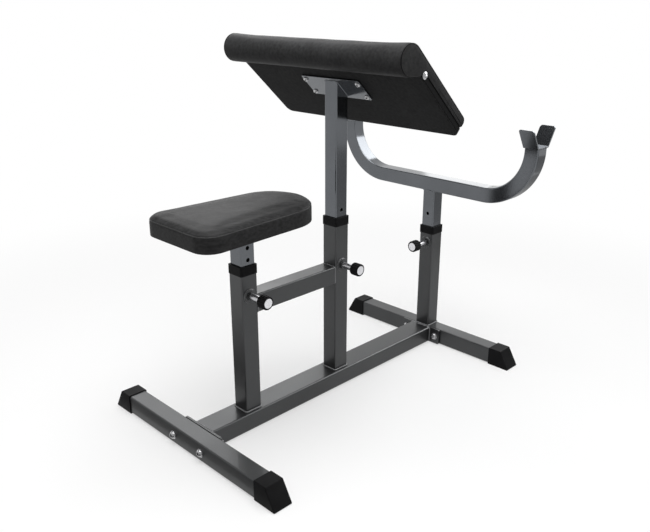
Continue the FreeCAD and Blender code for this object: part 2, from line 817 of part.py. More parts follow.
def pad_fasteners():
    length = pad_plate_thickness + pad_board_thickness - cushion_bolt_end_gap
    bolt = domed_bolt(
        cushion_bolt_diameter, length, cushion_bolt_head_diameter, cushion_bolt_head_height)
    bolts = []
    nuts = []
    for place in pad_bolt_places():
        bolts.append(on_pad(aim(bolt, place - vector(0, 0, pad_plate_thickness), Z_AXIS)))
        top = place + vector(0, 0, pad_board_thickness)
        nuts.append(on_pad(aim(tee_nut(pad_board_thickness), top, Z_AXIS)))
    stud = domed_bolt(stud_shank_diameter, stud_shank_length, stud_head_diameter, stud_head_height)
    studs = []
    for side in (-1, 1):
        base = vector(stud_u, side * pad_half_width, stud_n)
        studs.append(on_pad(aim(stud, base, Y_AXIS * -side)))
    return {"pad_bolts": bolts, "pad_tee_nuts": nuts, "pad_side_studs": studs}


def pad_post():
    """Inner post with its top cut to the slope of the mount plate."""
    reach = tube_size * 4
    shape = inner_post(
        pad_x, pad_post_foot, pad_level + reach / 2, pad_pin_z, Y_AXIS * -1,
        hole_pitch, pad_hole_count_below, pad_hole_count_above)
    above = Part.makeBox(
        2 * reach, 2 * reach, 2 * reach, vector(-reach, -reach, -pad_plate_thickness))
    return shape.cut(on_pad(above))


def rack_bar():
    """Square tube bent into a wide U, built from straights and quarter turns."""
    straight_half = rack_arm_y - rack_bend_radius
    segments = []
    for shrink in (0.0, rack_bar_wall):
        size = rack_bar_size - 2 * shrink
        corner = max(rack_bar_corner - shrink, least_corner)
        pieces = [bar(
            vector(front_x, -straight_half, rack_axis_z), X_AXIS, Z_AXIS,
            vector(0, 2 * straight_half, 0), size, size, corner)]
        for side in (-1, 1):
            start = rounded_rectangle(
                vector(front_x, side * straight_half, rack_axis_z), X_AXIS, Z_AXIS, size, size, corner)
            turn = Part.Face(start).revolve(
                vector(front_x, side * straight_half, rack_bend_z), X_AXIS * side, 90)
            pieces.append(turn)
            pieces.append(bar(
                vector(front_x, side * rack_arm_y, rack_bend_z), X_AXIS, Y_AXIS,
                vector(0, 0, rack_arm_straight), size, size, corner))
        segments.append(pieces[0].fuse(pieces[1:]).removeSplitter())
    return segments[0].cut(segments[1])


def rack_catch(side):
    """Bent plate on an arm's end: a flat base between two wings that lean apart."""
    half_base = catch_base_length / 2
    lean = math.atan2(catch_wing_run, catch_height - catch_thickness)
    shift = catch_thickness / math.cos(lean)
    top_z = catch_height
    inner_base = half_base - catch_thickness * (1 - math.tan(lean))
    profile = [
        (-half_base, 0.0),
        (half_base, 0.0),
        (half_base + catch_wing_run, top_z),
        (half_base + catch_wing_run - shift, top_z),
        (inner_base, catch_thickness),
        (-inner_base, catch_thickness),
        (-half_base - catch_wing_run + shift, top_z),
        (-half_base - catch_wing_run, top_z),
        (-half_base, 0.0),
    ]
    start_y = side * rack_arm_y - catch_width / 2
    points = [vector(front_x + x, start_y, rack_arm_top_z + z) for x, z in profile]
    shape = Part.Face(Part.makePolygon(points)).extrude(vector(0, catch_width, 0))
    silhouette = bar(
        vector(front_x - catch_reach, side * rack_arm_y, rack_arm_top_z), Y_AXIS, Z_AXIS,
        vector(2 * catch_reach, 0, 0), catch_width, 2 * catch_height, catch_tip_corner)
    return shape.common(silhouette)


def pin_station(name, x, z, way):
    """Nodes of one pull pin, from the post's face outwards."""
    base = vector(x, 0, z) + way * half_tube
    shapes = {
        name + "_boss": pin_boss(),
        name + "_barrel": pin_barrel(),
        name + "_spring": pin_spring(),
        name: pull_pin(),
        name + "_knob": pin_knob(),
        name + "_disc": knob_disc(),
    }
    return {node: aim(shape, base, way) for node, shape in shapes.items()}


def build():
    nodes = {
        "main_beam": bench_beam(),
        "rear_end_plate": end_plate(rear_x + half_tube),
        "front_end_plate": end_plate(front_x - half_tube - plate_thickness),
        "rear_crossbar": crossbar(rear_x),
        "front_crossbar": crossbar(front_x),
        "brace": brace_tube(),
    }
    for end, x in (("rear", rear_x), ("front", front_x)):
        for hand, side in (("left", 1), ("right", -1)):
            nodes["foot_cap_" + end + "_" + hand] = foot_cap(x, side)
    nodes.update(frame_fasteners())
    to_right = Y_AXIS * -1
    to_rear = X_AXIS * -1
    posts = (
        ("seat", seat_x, beam_top_z, seat_collar_top, seat_pin_z, to_right, seat_post_foot),
        ("pad", pad_x, beam_top_z, pad_collar_top, pad_pin_z, to_right, pad_post_foot),
        ("rack", front_x, tube_top_z, rack_collar_top, rack_pin_z, to_rear, rack_post_foot),
    )
    for name, x, foot_z, collar_top, pin_z, way, slider_foot in posts:
        nodes[name + "_post_tube"] = outer_post(x, foot_z, collar_top, pin_z, way)
        nodes[name + "_post_bush"] = bush(x, collar_top)
        nodes[name + "_post_plug"] = post_plug(x, slider_foot)
        nodes.update(pin_station(name + "_pin", x, pin_z, way))
    nodes["seat_post"] = inner_post(
        seat_x, seat_post_foot, seat_underside_z - seat_plate_thickness, seat_pin_z, to_right,
        hole_pitch, seat_hole_count_below, seat_hole_count_above)
    nodes["seat_mount_plate"] = seat_mount_plate()
    nodes["seat_board"] = seat_board()
    nodes["seat_cushion"] = seat_cushion()
    nodes.update(seat_fasteners())
    nodes["pad_post"] = pad_post()
    nodes["pad_mount_plate"] = pad_mount_plate()
    nodes["pad_board"] = pad_board()
    nodes["pad_cushion"] = pad_cushion()
    nodes.update(pad_fasteners())
    nodes["rack_post"] = inner_post(
        front_x, rack_post_foot, rack_bar_bottom_z, rack_pin_z, to_rear,
        rack_hole_pitch, rack_hole_count_below, rack_hole_count_above)
    nodes["rack_bar"] = rack_bar()
    nodes["rack_catch_left"] = rack_catch(1)
    nodes["rack_catch_right"] = rack_catch(-1)
    return nodes


def export(nodes):
    os.makedirs("parts", exist_ok=True)
    for name, shape in nodes.items():
        solids = Part.makeCompound(shape) if isinstance(shape, list) else shape
        solids.exportStep("parts/" + name + ".step")
    print(len(nodes), "nodes, least gap between spring turns", round(spring_gap(spring_length), 2), "mm")


export(build())
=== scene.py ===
import json
import math

import bmesh
import bpy
import numpy as np
from bmesh.types import BMEdge, BMFace, BMVert
from bpy.props import FloatProperty, FloatVectorProperty, IntProperty, PointerProperty
from mathutils import Matrix, Vector, noise


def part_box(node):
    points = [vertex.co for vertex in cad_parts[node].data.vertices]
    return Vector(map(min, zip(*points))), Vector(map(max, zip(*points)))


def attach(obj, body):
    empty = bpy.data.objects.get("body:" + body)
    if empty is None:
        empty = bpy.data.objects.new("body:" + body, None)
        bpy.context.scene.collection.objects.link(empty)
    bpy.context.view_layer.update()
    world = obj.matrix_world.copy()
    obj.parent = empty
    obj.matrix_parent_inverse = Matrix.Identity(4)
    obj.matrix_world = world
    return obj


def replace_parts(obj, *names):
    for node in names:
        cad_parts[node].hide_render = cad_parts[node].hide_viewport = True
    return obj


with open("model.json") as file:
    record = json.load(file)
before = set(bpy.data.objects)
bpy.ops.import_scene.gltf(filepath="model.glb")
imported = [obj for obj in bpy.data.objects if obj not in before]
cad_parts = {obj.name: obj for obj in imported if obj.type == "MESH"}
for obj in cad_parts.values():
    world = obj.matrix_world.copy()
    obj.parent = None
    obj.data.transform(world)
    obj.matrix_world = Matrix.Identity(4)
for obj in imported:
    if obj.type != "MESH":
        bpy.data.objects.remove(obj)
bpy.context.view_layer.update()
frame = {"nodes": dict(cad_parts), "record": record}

bl_info = {
    "name": "Preacher Curl Bench",
    "version": (1, 0, 0),
    "blender": (4, 5, 0),
    "location": "View3D > Sidebar > Bench",
    "description": "Dresses the packed bench with paint, sewn pads, welds and bolts",
    "category": "Object",
}

SEAT_LOW, SEAT_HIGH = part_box("seat_cushion")
PAD_POST_LOW, PAD_POST_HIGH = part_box("pad_post")
PAD_X = (PAD_POST_LOW.x + PAD_POST_HIGH.x) / 2
X_AXIS = Vector((1, 0, 0))
Y_AXIS = Vector((0, 1, 0))
Z_AXIS = Vector((0, 0, 1))
WHITE = (1, 1, 1, 1)
MERGE = 0.0001
SPECK = 0.00001
FLOOR_SIZE = 30.0
BEAD_SIDES = 8
FOAM_WAVES = 26.0
# Shares of the flank's width and height at each step up from the seam
FLANK_STEPS = ((0.14, 0.30), (0.76, 0.66), (0.40, 0.12))
# Shares by which the rings of the crown shrink and rise
CROWN_STEPS = ((0.86, 0.45), (0.78, 0.35), (0.60, 0.20))
# Turns in degrees of the rings of a bolt's domed head
DOME_TURNS = (0.0, 14.0, 28.0, 42.0, 55.0)
# Name, share of the leatherette's tone, length of its creases and gloss
LEATHERS = (
    ("leatherette", 1.06, 1.0, 0.04),
    # Darker copy for the seat: painted shade; its long creases are the seat's own.
    ("seat_shaded_leatherette", 0.70, 5.0, 0.09),
    # Lighter copy for the pad's end panels: painted light on the sides that the lamps light more.
    ("end_lit_leatherette", 1.15, 1.0, 0.04),
    # Darker copy for the back of the arm pad, which faces down: painted shade.
    ("back_shaded_leatherette", 0.92, 1.0, 0.01),
    # Lighter copy for the seat's welt: a painted highlight along the seam.
    ("welt_highlight_leatherette", 1.35, 1.0, 0.12),
)


# Properties

def length(label, text, default):
    return FloatProperty(name=label, description=text, default=default, unit="LENGTH", precision=4)


def amount(label, text, default):
    return FloatProperty(name=label, description=text, default=default, min=0.0)


def colour(label, text, default):
    return FloatVectorProperty(
        name=label, description=text, default=default, subtype="COLOR", size=3, min=0.0, max=1.0)


def place(label, text, default):
    return FloatVectorProperty(name=label, description=text, default=default, subtype="XYZ", size=3)


class BenchSeat(bpy.types.PropertyGroup):
    half_width: length("Half width", "Half the seat's width at its rear", 0.1245)
    front_radius: length("Front radius", "Radius of the round front", 0.1085)
    rear_corner: length("Rear corner", "Radius of the two rear corners", 0.046)
    seam_height: length("Seam height", "Height of the seam above the seat's underside", 0.038)
    flank: length("Flank", "Width and height of the slope from the seam to the top", 0.0118)
    crown: length("Crown", "Rise of the top above its border before it swells", 0.0030)
    crown_reach: length("Swell", "Most that the top swells", 0.002)
    band_reach: length("Band swell", "Most that the upright band swells", 0.0015)
    lean: length("Lean", "How much higher the seam is at the front than at the rear", 0.002)
    slack: length("Slack", "How much smaller the cover starts", 0.0004)
    tuck: length("Tuck", "Depth of cover below the fold before it is cut off", 0.010)
    hem_drop: length("Hem drop", "Thickness of the hem under the board", 0.0008)
    hem_width: length("Hem width", "Width of the cover's folded edge under the board", 0.026)
    staple_pitch: length("Staple pitch", "Distance between staples under the board", 0.034)
    staple_width: length("Staple width", "Width of a staple's crown", 0.010)
    staple_wire: length("Staple wire", "Thickness of a staple's wire", 0.001)


class BenchArmPad(bpy.types.PropertyGroup):
    tilt: FloatProperty(
        name="Tilt", description="Slope of the arm face", default=math.radians(43.0), subtype="ANGLE")
    level: length("Level", "Height of the board's back on the post's axis", 0.8625)
    half_width: length("Half width", "Half the pad's width", 0.312)
    low_end: length("Low end", "Distance down the slope to the pad's low end", 0.1595)
    face: length("Arm face", "Height of the arm face above the board's back", 0.044)
    low_corner: length("Low corner", "Radius of the board's two low corners", 0.019)
    cushion_setback: length("Cushion setback", "How far the cushion's low end stays inside", 0.009)
    cushion_corner: length("Cushion corner", "Radius of the cushion's two low corners", 0.006)
    roll_centre_u: length("Roll place", "Roll axis along the slope", -0.11925)
    roll_centre_n: length("Roll height", "Roll axis above the board's back", 0.006)
    roll_radius: length("Roll radius", "Radius of the roll along the top", 0.038)
    board_thickness: length("Board thickness", "Thickness of the board's edge that shows", 0.017)
    board_setback: length("Board setback", "How far the board stays inside the cushion", 0.001)
    backing: length("Backing", "Thickness of the leatherette backing on the board", 0.004)
    backing_edge: length("Backing edge", "Rounding of the backing's edge", 0.0020)
    banding_setback: length("Banding setback", "How far the board's edge band stays inside", 0.001)
    edge: length("Edge", "Rounding along the arm face's low end", 0.011)
    panel: length("End panel", "Thickness of the end panels", 0.004)
    panel_inset: length("End panel inset", "How far an end panel stays inside the cover's edge", 0.0020)
    panel_edge: length("End panel edge", "Rounding of an end panel's edge", 0.0012)
    panel_crown: length("End panel crown", "Swell of an end panel", 0.0008)
    flap_end: length("Flap end", "Where the end panel's round flap ends along the slope", -0.0635)
    # The dark cord round each end panel is painted shade for the groove there.
    piping: length("Piping", "Radius of the dark cord round an end panel", 0.0014)
    end_hold: length("End hold", "Width of the cover that is sewn fast at each end", 0.010)
    plate: length("Plate", "Thickness of the mount plate behind the board", 0.005)
    plate_u: length("Plate place", "Middle of the mount plate along the slope", 0.0025)
    swell: length("Swell", "Most that the arm face and the roll swell", 0.0030)
    slack: length("Slack", "How much smaller the cover starts", 0.0002)


class BenchSewing(bpy.types.PropertyGroup):
    voxel: length("Mesh size", "Size of the even quads that the covers are simulated on", 0.0040)
    pressure: amount("Pressure", "Air pressure that stands for the foam", 4.0)
    frames: IntProperty(name="Frames", description="Length of the simulation", default=20, min=2)
    easing: IntProperty(
        name="Easing", description="Rounds that even out the swelling", default=14, min=0)
    seam_depth: length("Seam depth", "How far a seam is drawn in", 0.0009)
    seam_width: length("Seam width", "Half width of the dip at a seam", 0.0026)
    welt: length("Welt", "Radius of the welt sewn into a seam", 0.0015)
    welt_sink: length("Welt sink", "How far the welt's middle lies under the cover", 0.0002)
    welt_step: length("Welt step", "Distance between the points along a welt", 0.005)
    dimple: length("Unevenness", "Height of the slow waves in the foam", 0.0004)


class BenchWelds(bpy.types.PropertyGroup):
    radius: length("Bead radius", "Radius of a weld bead", 0.0024)
    stand_off: length("Stand-off", "Distance from a post's wall to a bead's middle", 0.0009)
    ripple: length("Ripple", "Distance between the ripples along a bead", 0.0034)
    depth: amount("Ripple depth", "Change of the bead's radius at a ripple", 0.13)


class BenchBolts(bpy.types.PropertyGroup):
    frame_head: length("Frame head", "Diameter of the crossbar bolts' heads", 0.020)
    frame_rise: length("Frame rise", "Height of the crossbar bolts' heads", 0.0065)
    frame_shank: length("Frame shank", "Diameter of the crossbar bolts", 0.010)
    frame_washer: length("Frame washer", "Thickness of the crossbar washers", 0.002)
    frame_length: length("Frame length", "Length of the crossbar bolts", 0.071)
    pad_head: length("Pad head", "Diameter of the heads under the seat and the pad", 0.015)
    pad_rise: length("Pad rise", "Height of the heads under the seat and the pad", 0.005)
    pad_shank: length("Pad shank", "Diameter of the bolts under the seat and the pad", 0.008)
    pad_length: length("Pad length", "Length of the bolts under the seat and the pad", 0.017)
    pad_washer: length("Pad washer", "Thickness of the washers under the seat", 0.0016)
    socket: amount("Socket", "Width of the key socket as a share of the head", 0.36)
    socket_depth: amount("Socket depth", "Depth of the key socket as a share of the head's height", 0.6)


class BenchFinishes(bpy.types.PropertyGroup):
    charcoal: colour("Charcoal paint", "Frame tubes", (0.061, 0.0625, 0.064))
    grey: colour("Grey paint", "Inner posts, bar rack and plates", (0.125, 0.132, 0.142))
    # Lighter copy of the charcoal paint for the frame's weld beads: a painted highlight for the light that
    # the fillets catch.
    weld: colour("Weld paint", "Weld beads on the frame", (0.15, 0.152, 0.156))
    plastic: colour("Black plastic", "Feet, collars and knobs", (0.0085, 0.0085, 0.009))
    leatherette: colour("Leatherette", "Covers of the seat and the arm pad", (0.034, 0.034, 0.0345))
    plywood: colour("Plywood", "Boards under the covers", (0.45, 0.30, 0.17))
    chrome: colour("Chrome", "Bolts and studs", (0.56, 0.56, 0.57))
    steel: colour("Bright steel", "Sleeves, pins, nuts and discs", (0.58, 0.58, 0.60))


class BenchStage(bpy.types.PropertyGroup):
    camera_place: place("Camera place", "Where the camera stands", (-1.3944, -1.37424, 1.08377))
    camera_way: place("Camera direction", "Where the camera looks", (0.6641, 0.6641, -0.3434))
    lens: FloatProperty(name="Lens", description="Focal length in millimetres", default=41.12)
    shift_x: FloatProperty(name="Shift X", description="Sideways lens shift", default=-0.0008)
    shift_y: FloatProperty(name="Shift Y", description="Upward lens shift", default=0.0005)
    ambient: amount("Ambient", "Strength of the light from all round", 0.36)
    overhead: amount("Overhead", "Brightness of the overhead softbox", 4.6)
    rack_card: amount("Rack card", "Brightness of the card that the rack's top mirrors", 1.6)
    side_card: amount("Side card", "Brightness of the card on the rack's side", 5.4)
    back_card: amount("Back card", "Brightness of the card behind the bench", 2.6)
    # A grey sheet on the floor that only reflections show: painted shadow for the floor's shade beside the
    # rear crossbar.
    floor_shadow_flag: amount("Floor flag", "Brightness of the flag on the floor by the rear crossbar", 0.25)
    flag_tone: amount("Flag", "Brightness of the grey flags beside the bench", 0.45)
    floor_glow: amount("Floor glow", "Share of the floor that shows as plain white", 0.50)
    floor_colour: colour("Floor", "Colour of the floor", (0.97, 0.97, 0.97))
    floor_bounce: colour(
        "Floor bounce", "Colour of the light that the floor throws back", (0.5, 0.5, 0.5))
    floor_near: length("Floor near", "Distance at which the floor starts to whiten", 0.7)
    floor_far: length("Floor far", "Distance from which the floor is white", 2.2)


# Making materials

class Nodes:
    """A node tree under construction, with short ways to add and join its nodes."""

    def __init__(self, tree):
        self.tree = tree

    def add(self, kind, settings=None, inputs=None):
        node = self.tree.nodes.new(kind)
        for key, value in (settings or {}).items():
            setattr(node, key, value)
        for key, value in (inputs or {}).items():
            self.put(node.inputs[key], value)
        return node

    def put(self, socket, value):
        if isinstance(value, bpy.types.NodeSocket):
            self.tree.links.new(value, socket)
        else:
            socket.default_value = value

    def show(self, output, surface):
        self.put(self.tree.nodes[output].inputs["Surface"], surface)

    def glow(self, kind, strength):
        return self.add(kind, inputs={"Color": WHITE, "Strength": strength}).outputs[0]

    def mixed(self, share, first, second):
        return self.add("ShaderNodeMixShader", inputs={0: share, 1: first, 2: second}).outputs[0]

    def white_for_eye(self):
        """Factor that is 1 for rays that show the background, straight or in a reflection."""
        path = self.add("ShaderNodeLightPath").outputs
        total = path["Is Camera Ray"]
        for name in ("Is Glossy Ray", "Is Transmission Ray"):
            total = self.add(
                "ShaderNodeMath", {"operation": "MAXIMUM"}, {0: total, 1: path[name]}).outputs[0]
        return total


class Finish(Nodes):
    """A material with procedural detail, read from object coordinates."""

    def __init__(self, name):
        self.material = bpy.data.materials.new(name)
        self.material.use_nodes = True
        super().__init__(self.material.node_tree)
        self.shader = self.tree.nodes["Principled BSDF"]
        self.where = self.add("ShaderNodeTexCoord").outputs["Object"]

    def shade(self, **inputs):
        for key, value in inputs.items():
            self.put(self.shader.inputs[key.replace("_", " ")], value)

    def mapped(self, stretch=(1, 1, 1), turn=(0, 0, 0), centre=(0, 0, 0)):
        """Object coordinates from a centre, turned and then drawn out along each axis."""
        return self.add("ShaderNodeMapping", {"vector_type": "TEXTURE"}, {
            "Vector": self.where, "Location": centre, "Rotation": turn,
            "Scale": stretch}).outputs["Vector"]

    def noise(self, scale, detail=2.0, vector=None, rough=0.5):
        return self.add("ShaderNodeTexNoise", inputs={
            "Vector": vector or self.where, "Scale": scale, "Detail": detail,
            "Roughness": rough}).outputs["Fac"]

    def cells(self, scale, output="Distance", feature="F1"):
        return self.add(
            "ShaderNodeTexVoronoi", {"feature": feature},
            {"Vector": self.where, "Scale": scale}).outputs[output]

    def ramp(self, factor, stops):
        node = self.add("ShaderNodeValToRGB", inputs={"Fac": factor})
        elements = node.color_ramp.elements
        while len(elements) < len(stops):
            elements.new(0.5)
        for element, (position, tone) in zip(elements, stops):
            element.position = position
            element.color = (*tone, 1.0)
        return node.outputs["Color"]

    def span(self, factor, low, high, start=0.0, end=1.0):
        return self.add("ShaderNodeMapRange", inputs={
            "Value": factor, "From Min": start, "From Max": end,
            "To Min": low, "To Max": high}).outputs["Result"]

    def blend(self, first, second, share=0.5):
        """Weighted sum of two grey patterns."""
        return self.add("ShaderNodeMix", {"data_type": "FLOAT"}, {
            "Factor": share, "A": first, "B": second}).outputs["Result"]

    def bump(self, height, strength, distance, normal=None):
        inputs = {"Height": height, "Strength": strength, "Distance": distance}
        if normal:
            inputs["Normal"] = normal
        return self.add("ShaderNodeBump", inputs=inputs).outputs["Normal"]

    def soft_edges(self, radius):
        return self.add("ShaderNodeBevel", {"samples": 4}, {"Radius": radius}).outputs["Normal"]

    def edge_highlight_mask(self, soft_normal):
        """1 where the rounded normal leaves the true one, which is along sharp edges; it masks the painted
        highlights there.
        """
        true_normal = self.add("ShaderNodeNewGeometry").outputs["Normal"]
        match = self.add("ShaderNodeVectorMath", {"operation": "DOT_PRODUCT"}, {
            0: soft_normal, 1: true_normal}).outputs["Value"]
        return self.span(match, 1.0, 0.0, 0.86, 0.99)

    def two_tone(self, share, first, second):
        return self.add("ShaderNodeMix", {"data_type": "RGBA"}, {
            0: share, 6: first, 7: (*second, 1.0)}).outputs[2]


def tinted(tone, share):
    return tuple(min(1.0, channel * share) for channel in tone)


def metal_paint(name, tone, rough, coat, edge):
    """Sprayed metallic paint: fine flakes, slow clouds, orange peel and painted highlights along the edges.
    """
    f = Finish(name)
    flakes = f.cells(2600.0, "Color")
    clouds = f.noise(9.0, 3.0)
    speckle = f.blend(flakes, clouds, 0.6)
    paint = f.ramp(speckle, [(0.25, tinted(tone, 0.86)), (0.75, tinted(tone, 1.16))])
    skin = f.noise(420.0, 1.0)
    soft_normal = f.soft_edges(edge)
    # The base colour is lighter along sharp edges: a painted highlight.
    f.shade(
        Base_Color=f.two_tone(f.edge_highlight_mask(soft_normal), paint, tinted(tone, 1.2)),
        Roughness=f.span(clouds, rough * 0.88, rough * 1.14, 0.3, 0.7),
        Normal=f.bump(skin, 0.08, 0.0002, soft_normal),
        Metallic=0.9, Coat_Weight=coat, Coat_Roughness=0.05)
    return f.material


def moulded_plastic(name, tone):
    """Black injection-moulded plastic with a fine spark-eroded grain."""
    f = Finish(name)
    grain = f.noise(1500.0, 2.0)
    clouds = f.noise(24.0, 2.0)
    f.shade(
        Base_Color=f.ramp(clouds, [(0.3, tinted(tone, 0.8)), (0.7, tinted(tone, 1.35))]),
        Roughness=f.span(clouds, 0.38, 0.50, 0.3, 0.7),
        Normal=f.bump(grain, 0.16, 0.0002, f.soft_edges(0.0009)),
        Specular_IOR_Level=0.05)
    return f.material


def leather_cover(name, tone, drawn_out, gloss):
    """Leatherette: pebbled grain, mottled gloss and fine creases drawn out across the seat."""
    f = Finish(name)
    pebbles = f.cells(640.0, "Distance", "SMOOTH_F1")
    across = f.mapped((drawn_out, 1.0, 1.0), (0, 0, math.radians(-28.0)))
    creases = f.noise(230.0 / drawn_out ** 0.25, 3.0, across, 0.55)
    blotches = f.noise(120.0, 3.0)
    clouds = f.noise(14.0, 2.0)
    mottle = f.blend(blotches, clouds, 0.4)
    skin = f.blend(pebbles, creases, 0.6)
    # Random mottling is the leatherette's own tone; the creases' share darkens their hollows and lightens
    # their ridges, as painted shade and painted light.
    mottle_and_crease_shade = f.blend(mottle, creases, 0.14 * drawn_out)
    spread = 0.18 / drawn_out ** 0.25
    f.shade(
        Base_Color=f.ramp(
            mottle_and_crease_shade, [(0.5 - spread, tinted(tone, 0.66)), (0.5 + spread, tinted(tone, 1.42))]),
        Roughness=f.span(f.blend(creases, mottle, 0.5), 0.40, 0.58, 0.35, 0.65),
        Normal=f.bump(skin, 0.30 + 0.08 * drawn_out, 0.0008),
        Specular_IOR_Level=gloss)
    return f.material


def plywood_board(name, tone):
    """Birch plywood: long grain on the faces and thin plies at the edges."""
    f = Finish(name)
    grain = f.noise(60.0, 5.0, f.mapped((8.0, 0.6, 0.6)), 0.6)
    plies = f.add(
        "ShaderNodeTexWave", {"wave_type": "BANDS", "bands_direction": "Z"},
        {"Vector": f.where, "Scale": 110.0, "Distortion": 0.6, "Detail": 1.0}).outputs["Fac"]
    figure = f.blend(grain, plies, 0.25)
    f.shade(
        Base_Color=f.ramp(figure, [(0.25, tinted(tone, 0.62)), (0.75, tinted(tone, 1.12))]),
        Roughness=f.span(grain, 0.55, 0.75),
        Normal=f.bump(grain, 0.2, 0.0003))
    return f.material


def plated_metal(name, tone, rough, scratches, middle):
    """Plated steel with faint polishing marks, and a painted reflection that makes it darker where it is
    seen straight on.
    """
    f = Finish(name)
    # Darker where the surface faces the eye and lighter towards its rim: a painted reflection.
    slant = f.add("ShaderNodeLayerWeight", inputs={"Blend": 0.35}).outputs["Facing"]
    marks = f.noise(320.0, 3.0, f.mapped((5.0, 1.0, 0.5), (0.4, 0.2, 0.7)))
    clouds = f.noise(40.0, 2.0)
    f.shade(
        Base_Color=f.ramp(
            f.blend(slant, clouds, 0.2), [(0.08, tinted(tone, middle)), (0.55, tinted(tone, 1.1))]),
        Roughness=f.span(marks, rough * 0.75, rough * 1.35, 0.3, 0.7),
        Normal=f.bump(marks, scratches, 0.0001, f.soft_edges(0.0004)),
        Metallic=1.0)
    return f.material


def turned_face(name, tone, centre, along):
    """Bright disc with the fine rings that a lathe leaves."""
    f = Finish(name)
    rings = f.add(
        "ShaderNodeTexWave", {"wave_type": "RINGS", "rings_direction": along},
        {"Vector": f.mapped(centre=centre), "Scale": 260.0,
         "Distortion": 0.3, "Detail": 1.0}).outputs["Fac"]
    clouds = f.noise(120.0, 2.0)
    f.shade(
        Base_Color=f.ramp(rings, [(0.2, tinted(tone, 0.9)), (0.8, tinted(tone, 1.1))]),
        Roughness=f.span(clouds, 0.24, 0.36, 0.3, 0.7),
        Normal=f.bump(rings, 0.25, 0.00012),
        Metallic=1.0)
    return f.material


FINISHES = {}


def make_finishes(tones):
    FINISHES["charcoal_paint"] = metal_paint("charcoal_paint", tones.charcoal, 0.36, 0.12, 0.0012)
    FINISHES["grey_paint"] = metal_paint("grey_paint", tones.grey, 0.13, 0.0, 0.0010)
    # The weld beads' lighter paint is a painted highlight.
    FINISHES["weld_highlight_paint"] = metal_paint("weld_highlight_paint", tones.weld, 0.34, 0.10, 0.0008)
    FINISHES["black_plastic"] = moulded_plastic("black_plastic", tones.plastic)
    for name, share, drawn_out, gloss in LEATHERS:
        FINISHES[name] = leather_cover(name, tinted(tones.leatherette, share), drawn_out, gloss)
    FINISHES["edge_band"] = moulded_plastic("edge_band", tinted(tones.plastic, 0.6))
    FINISHES["plywood"] = plywood_board("plywood", tones.plywood)
    # The 0.45 and 0.7 set how dark the painted reflection makes the middles of the chrome and the steel.
    FINISHES["chrome"] = plated_metal("chrome", tones.chrome, 0.13, 0.05, 0.45)
    FINISHES["bright_steel"] = plated_metal("bright_steel", tones.steel, 0.27, 0.12, 0.7)
    for post, along in (("seat", "Y"), ("pad", "Y"), ("rack", "X")):
        node = post + "_pin_disc"
        low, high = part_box(node)
        FINISHES[node] = turned_face(node, tinted(tones.steel, 1.25), (low + high) / 2, along)


# Making meshes

def linked(name, data):
    """New object of a mesh, a lamp or a camera, linked to the scene."""
    thing = bpy.data.objects.new(name, data)
    bpy.context.scene.collection.objects.link(thing)
    return thing


def to_mesh(bm, name):
    """Turn a bmesh into a mesh and free it."""
    mesh = bpy.data.meshes.new(name)
    bm.to_mesh(mesh)
    bm.free()
    return mesh


def finished(bm, name, slot, body, smooth=40.0, finish=None):
    """Turn a bmesh into a piece that rides on a body and wears the given finish, or the finish named like
    its slot when none is given.
    """
    bmesh.ops.remove_doubles(bm, verts=bm.verts[:], dist=SPECK)
    bmesh.ops.recalc_face_normals(bm, faces=bm.faces[:])
    return dressed(to_mesh(bm, name), name, slot, body, smooth, finish)


def dressed(mesh, name, slot, body, smooth, finish=None):
    mesh.shade_smooth()
    mesh.set_sharp_from_angle(angle=math.radians(smooth))
    mesh.materials.clear()
    mesh.materials.append(FINISHES[finish or slot])
    piece = linked(name, mesh)
    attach(piece, body)
    return piece


def even_normals(piece):
    """Keep flat faces flat beside their rounded edges."""
    weights = piece.modifiers.new("flat_faces", "WEIGHTED_NORMAL")
    weights.keep_sharp = True
    weights.weight = 100


def of_kind(parts, kind):
    return [part for part in parts if isinstance(part, kind)]


def everything(bm):
    return bm.verts[:] + bm.edges[:] + bm.faces[:]


def mirrored(bm, merge=0.0):
    """Add the other half of what is symmetrical across the bench."""
    bmesh.ops.mirror(bm, geom=everything(bm), axis="Y", merge_dist=merge)


def rounded(bm, parts, radius, segments, affect="EDGES"):
    bmesh.ops.bevel(
        bm, geom=parts, offset=radius, offset_type="OFFSET", segments=segments, profile=0.5,
        affect=affect, clamp_overlap=True, material=-1)


def outline_face(bm, corners):
    return bm.faces.new([bm.verts.new(corner) for corner in corners])


def grown(bm, face, matrix):
    """Extrude one face, move its far copy by a matrix and return it."""
    parts = bmesh.ops.extrude_face_region(bm, geom=[face, *face.edges])["geom"]
    bmesh.ops.transform(bm, matrix=matrix, verts=of_kind(parts, BMVert))
    return of_kind(parts, BMFace)[0]


def raised(bm, face, rise):
    return grown(bm, face, Matrix.Translation(rise))


def edges_grown(bm, edges, matrix):
    """Extrude a loop of edges, move its far copy by a matrix and return it."""
    parts = bmesh.ops.extrude_edge_only(bm, edges=edges)["geom"]
    verts = of_kind(parts, BMVert)
    bmesh.ops.transform(bm, matrix=matrix, verts=verts)
    far = set(verts)
    return [edge for edge in of_kind(parts, BMEdge) if far.issuperset(edge.verts)]


def path_frame(path, index, up):
    """Place of a point on a closed flat path, with Z along the path."""
    way = (path[(index + 1) % len(path)] - path[index - 1]).normalized()
    side = way.cross(up).normalized()
    axes = Matrix((side, up, way)).transposed()
    return Matrix.Translation(path[index]) @ axes.to_4x4()


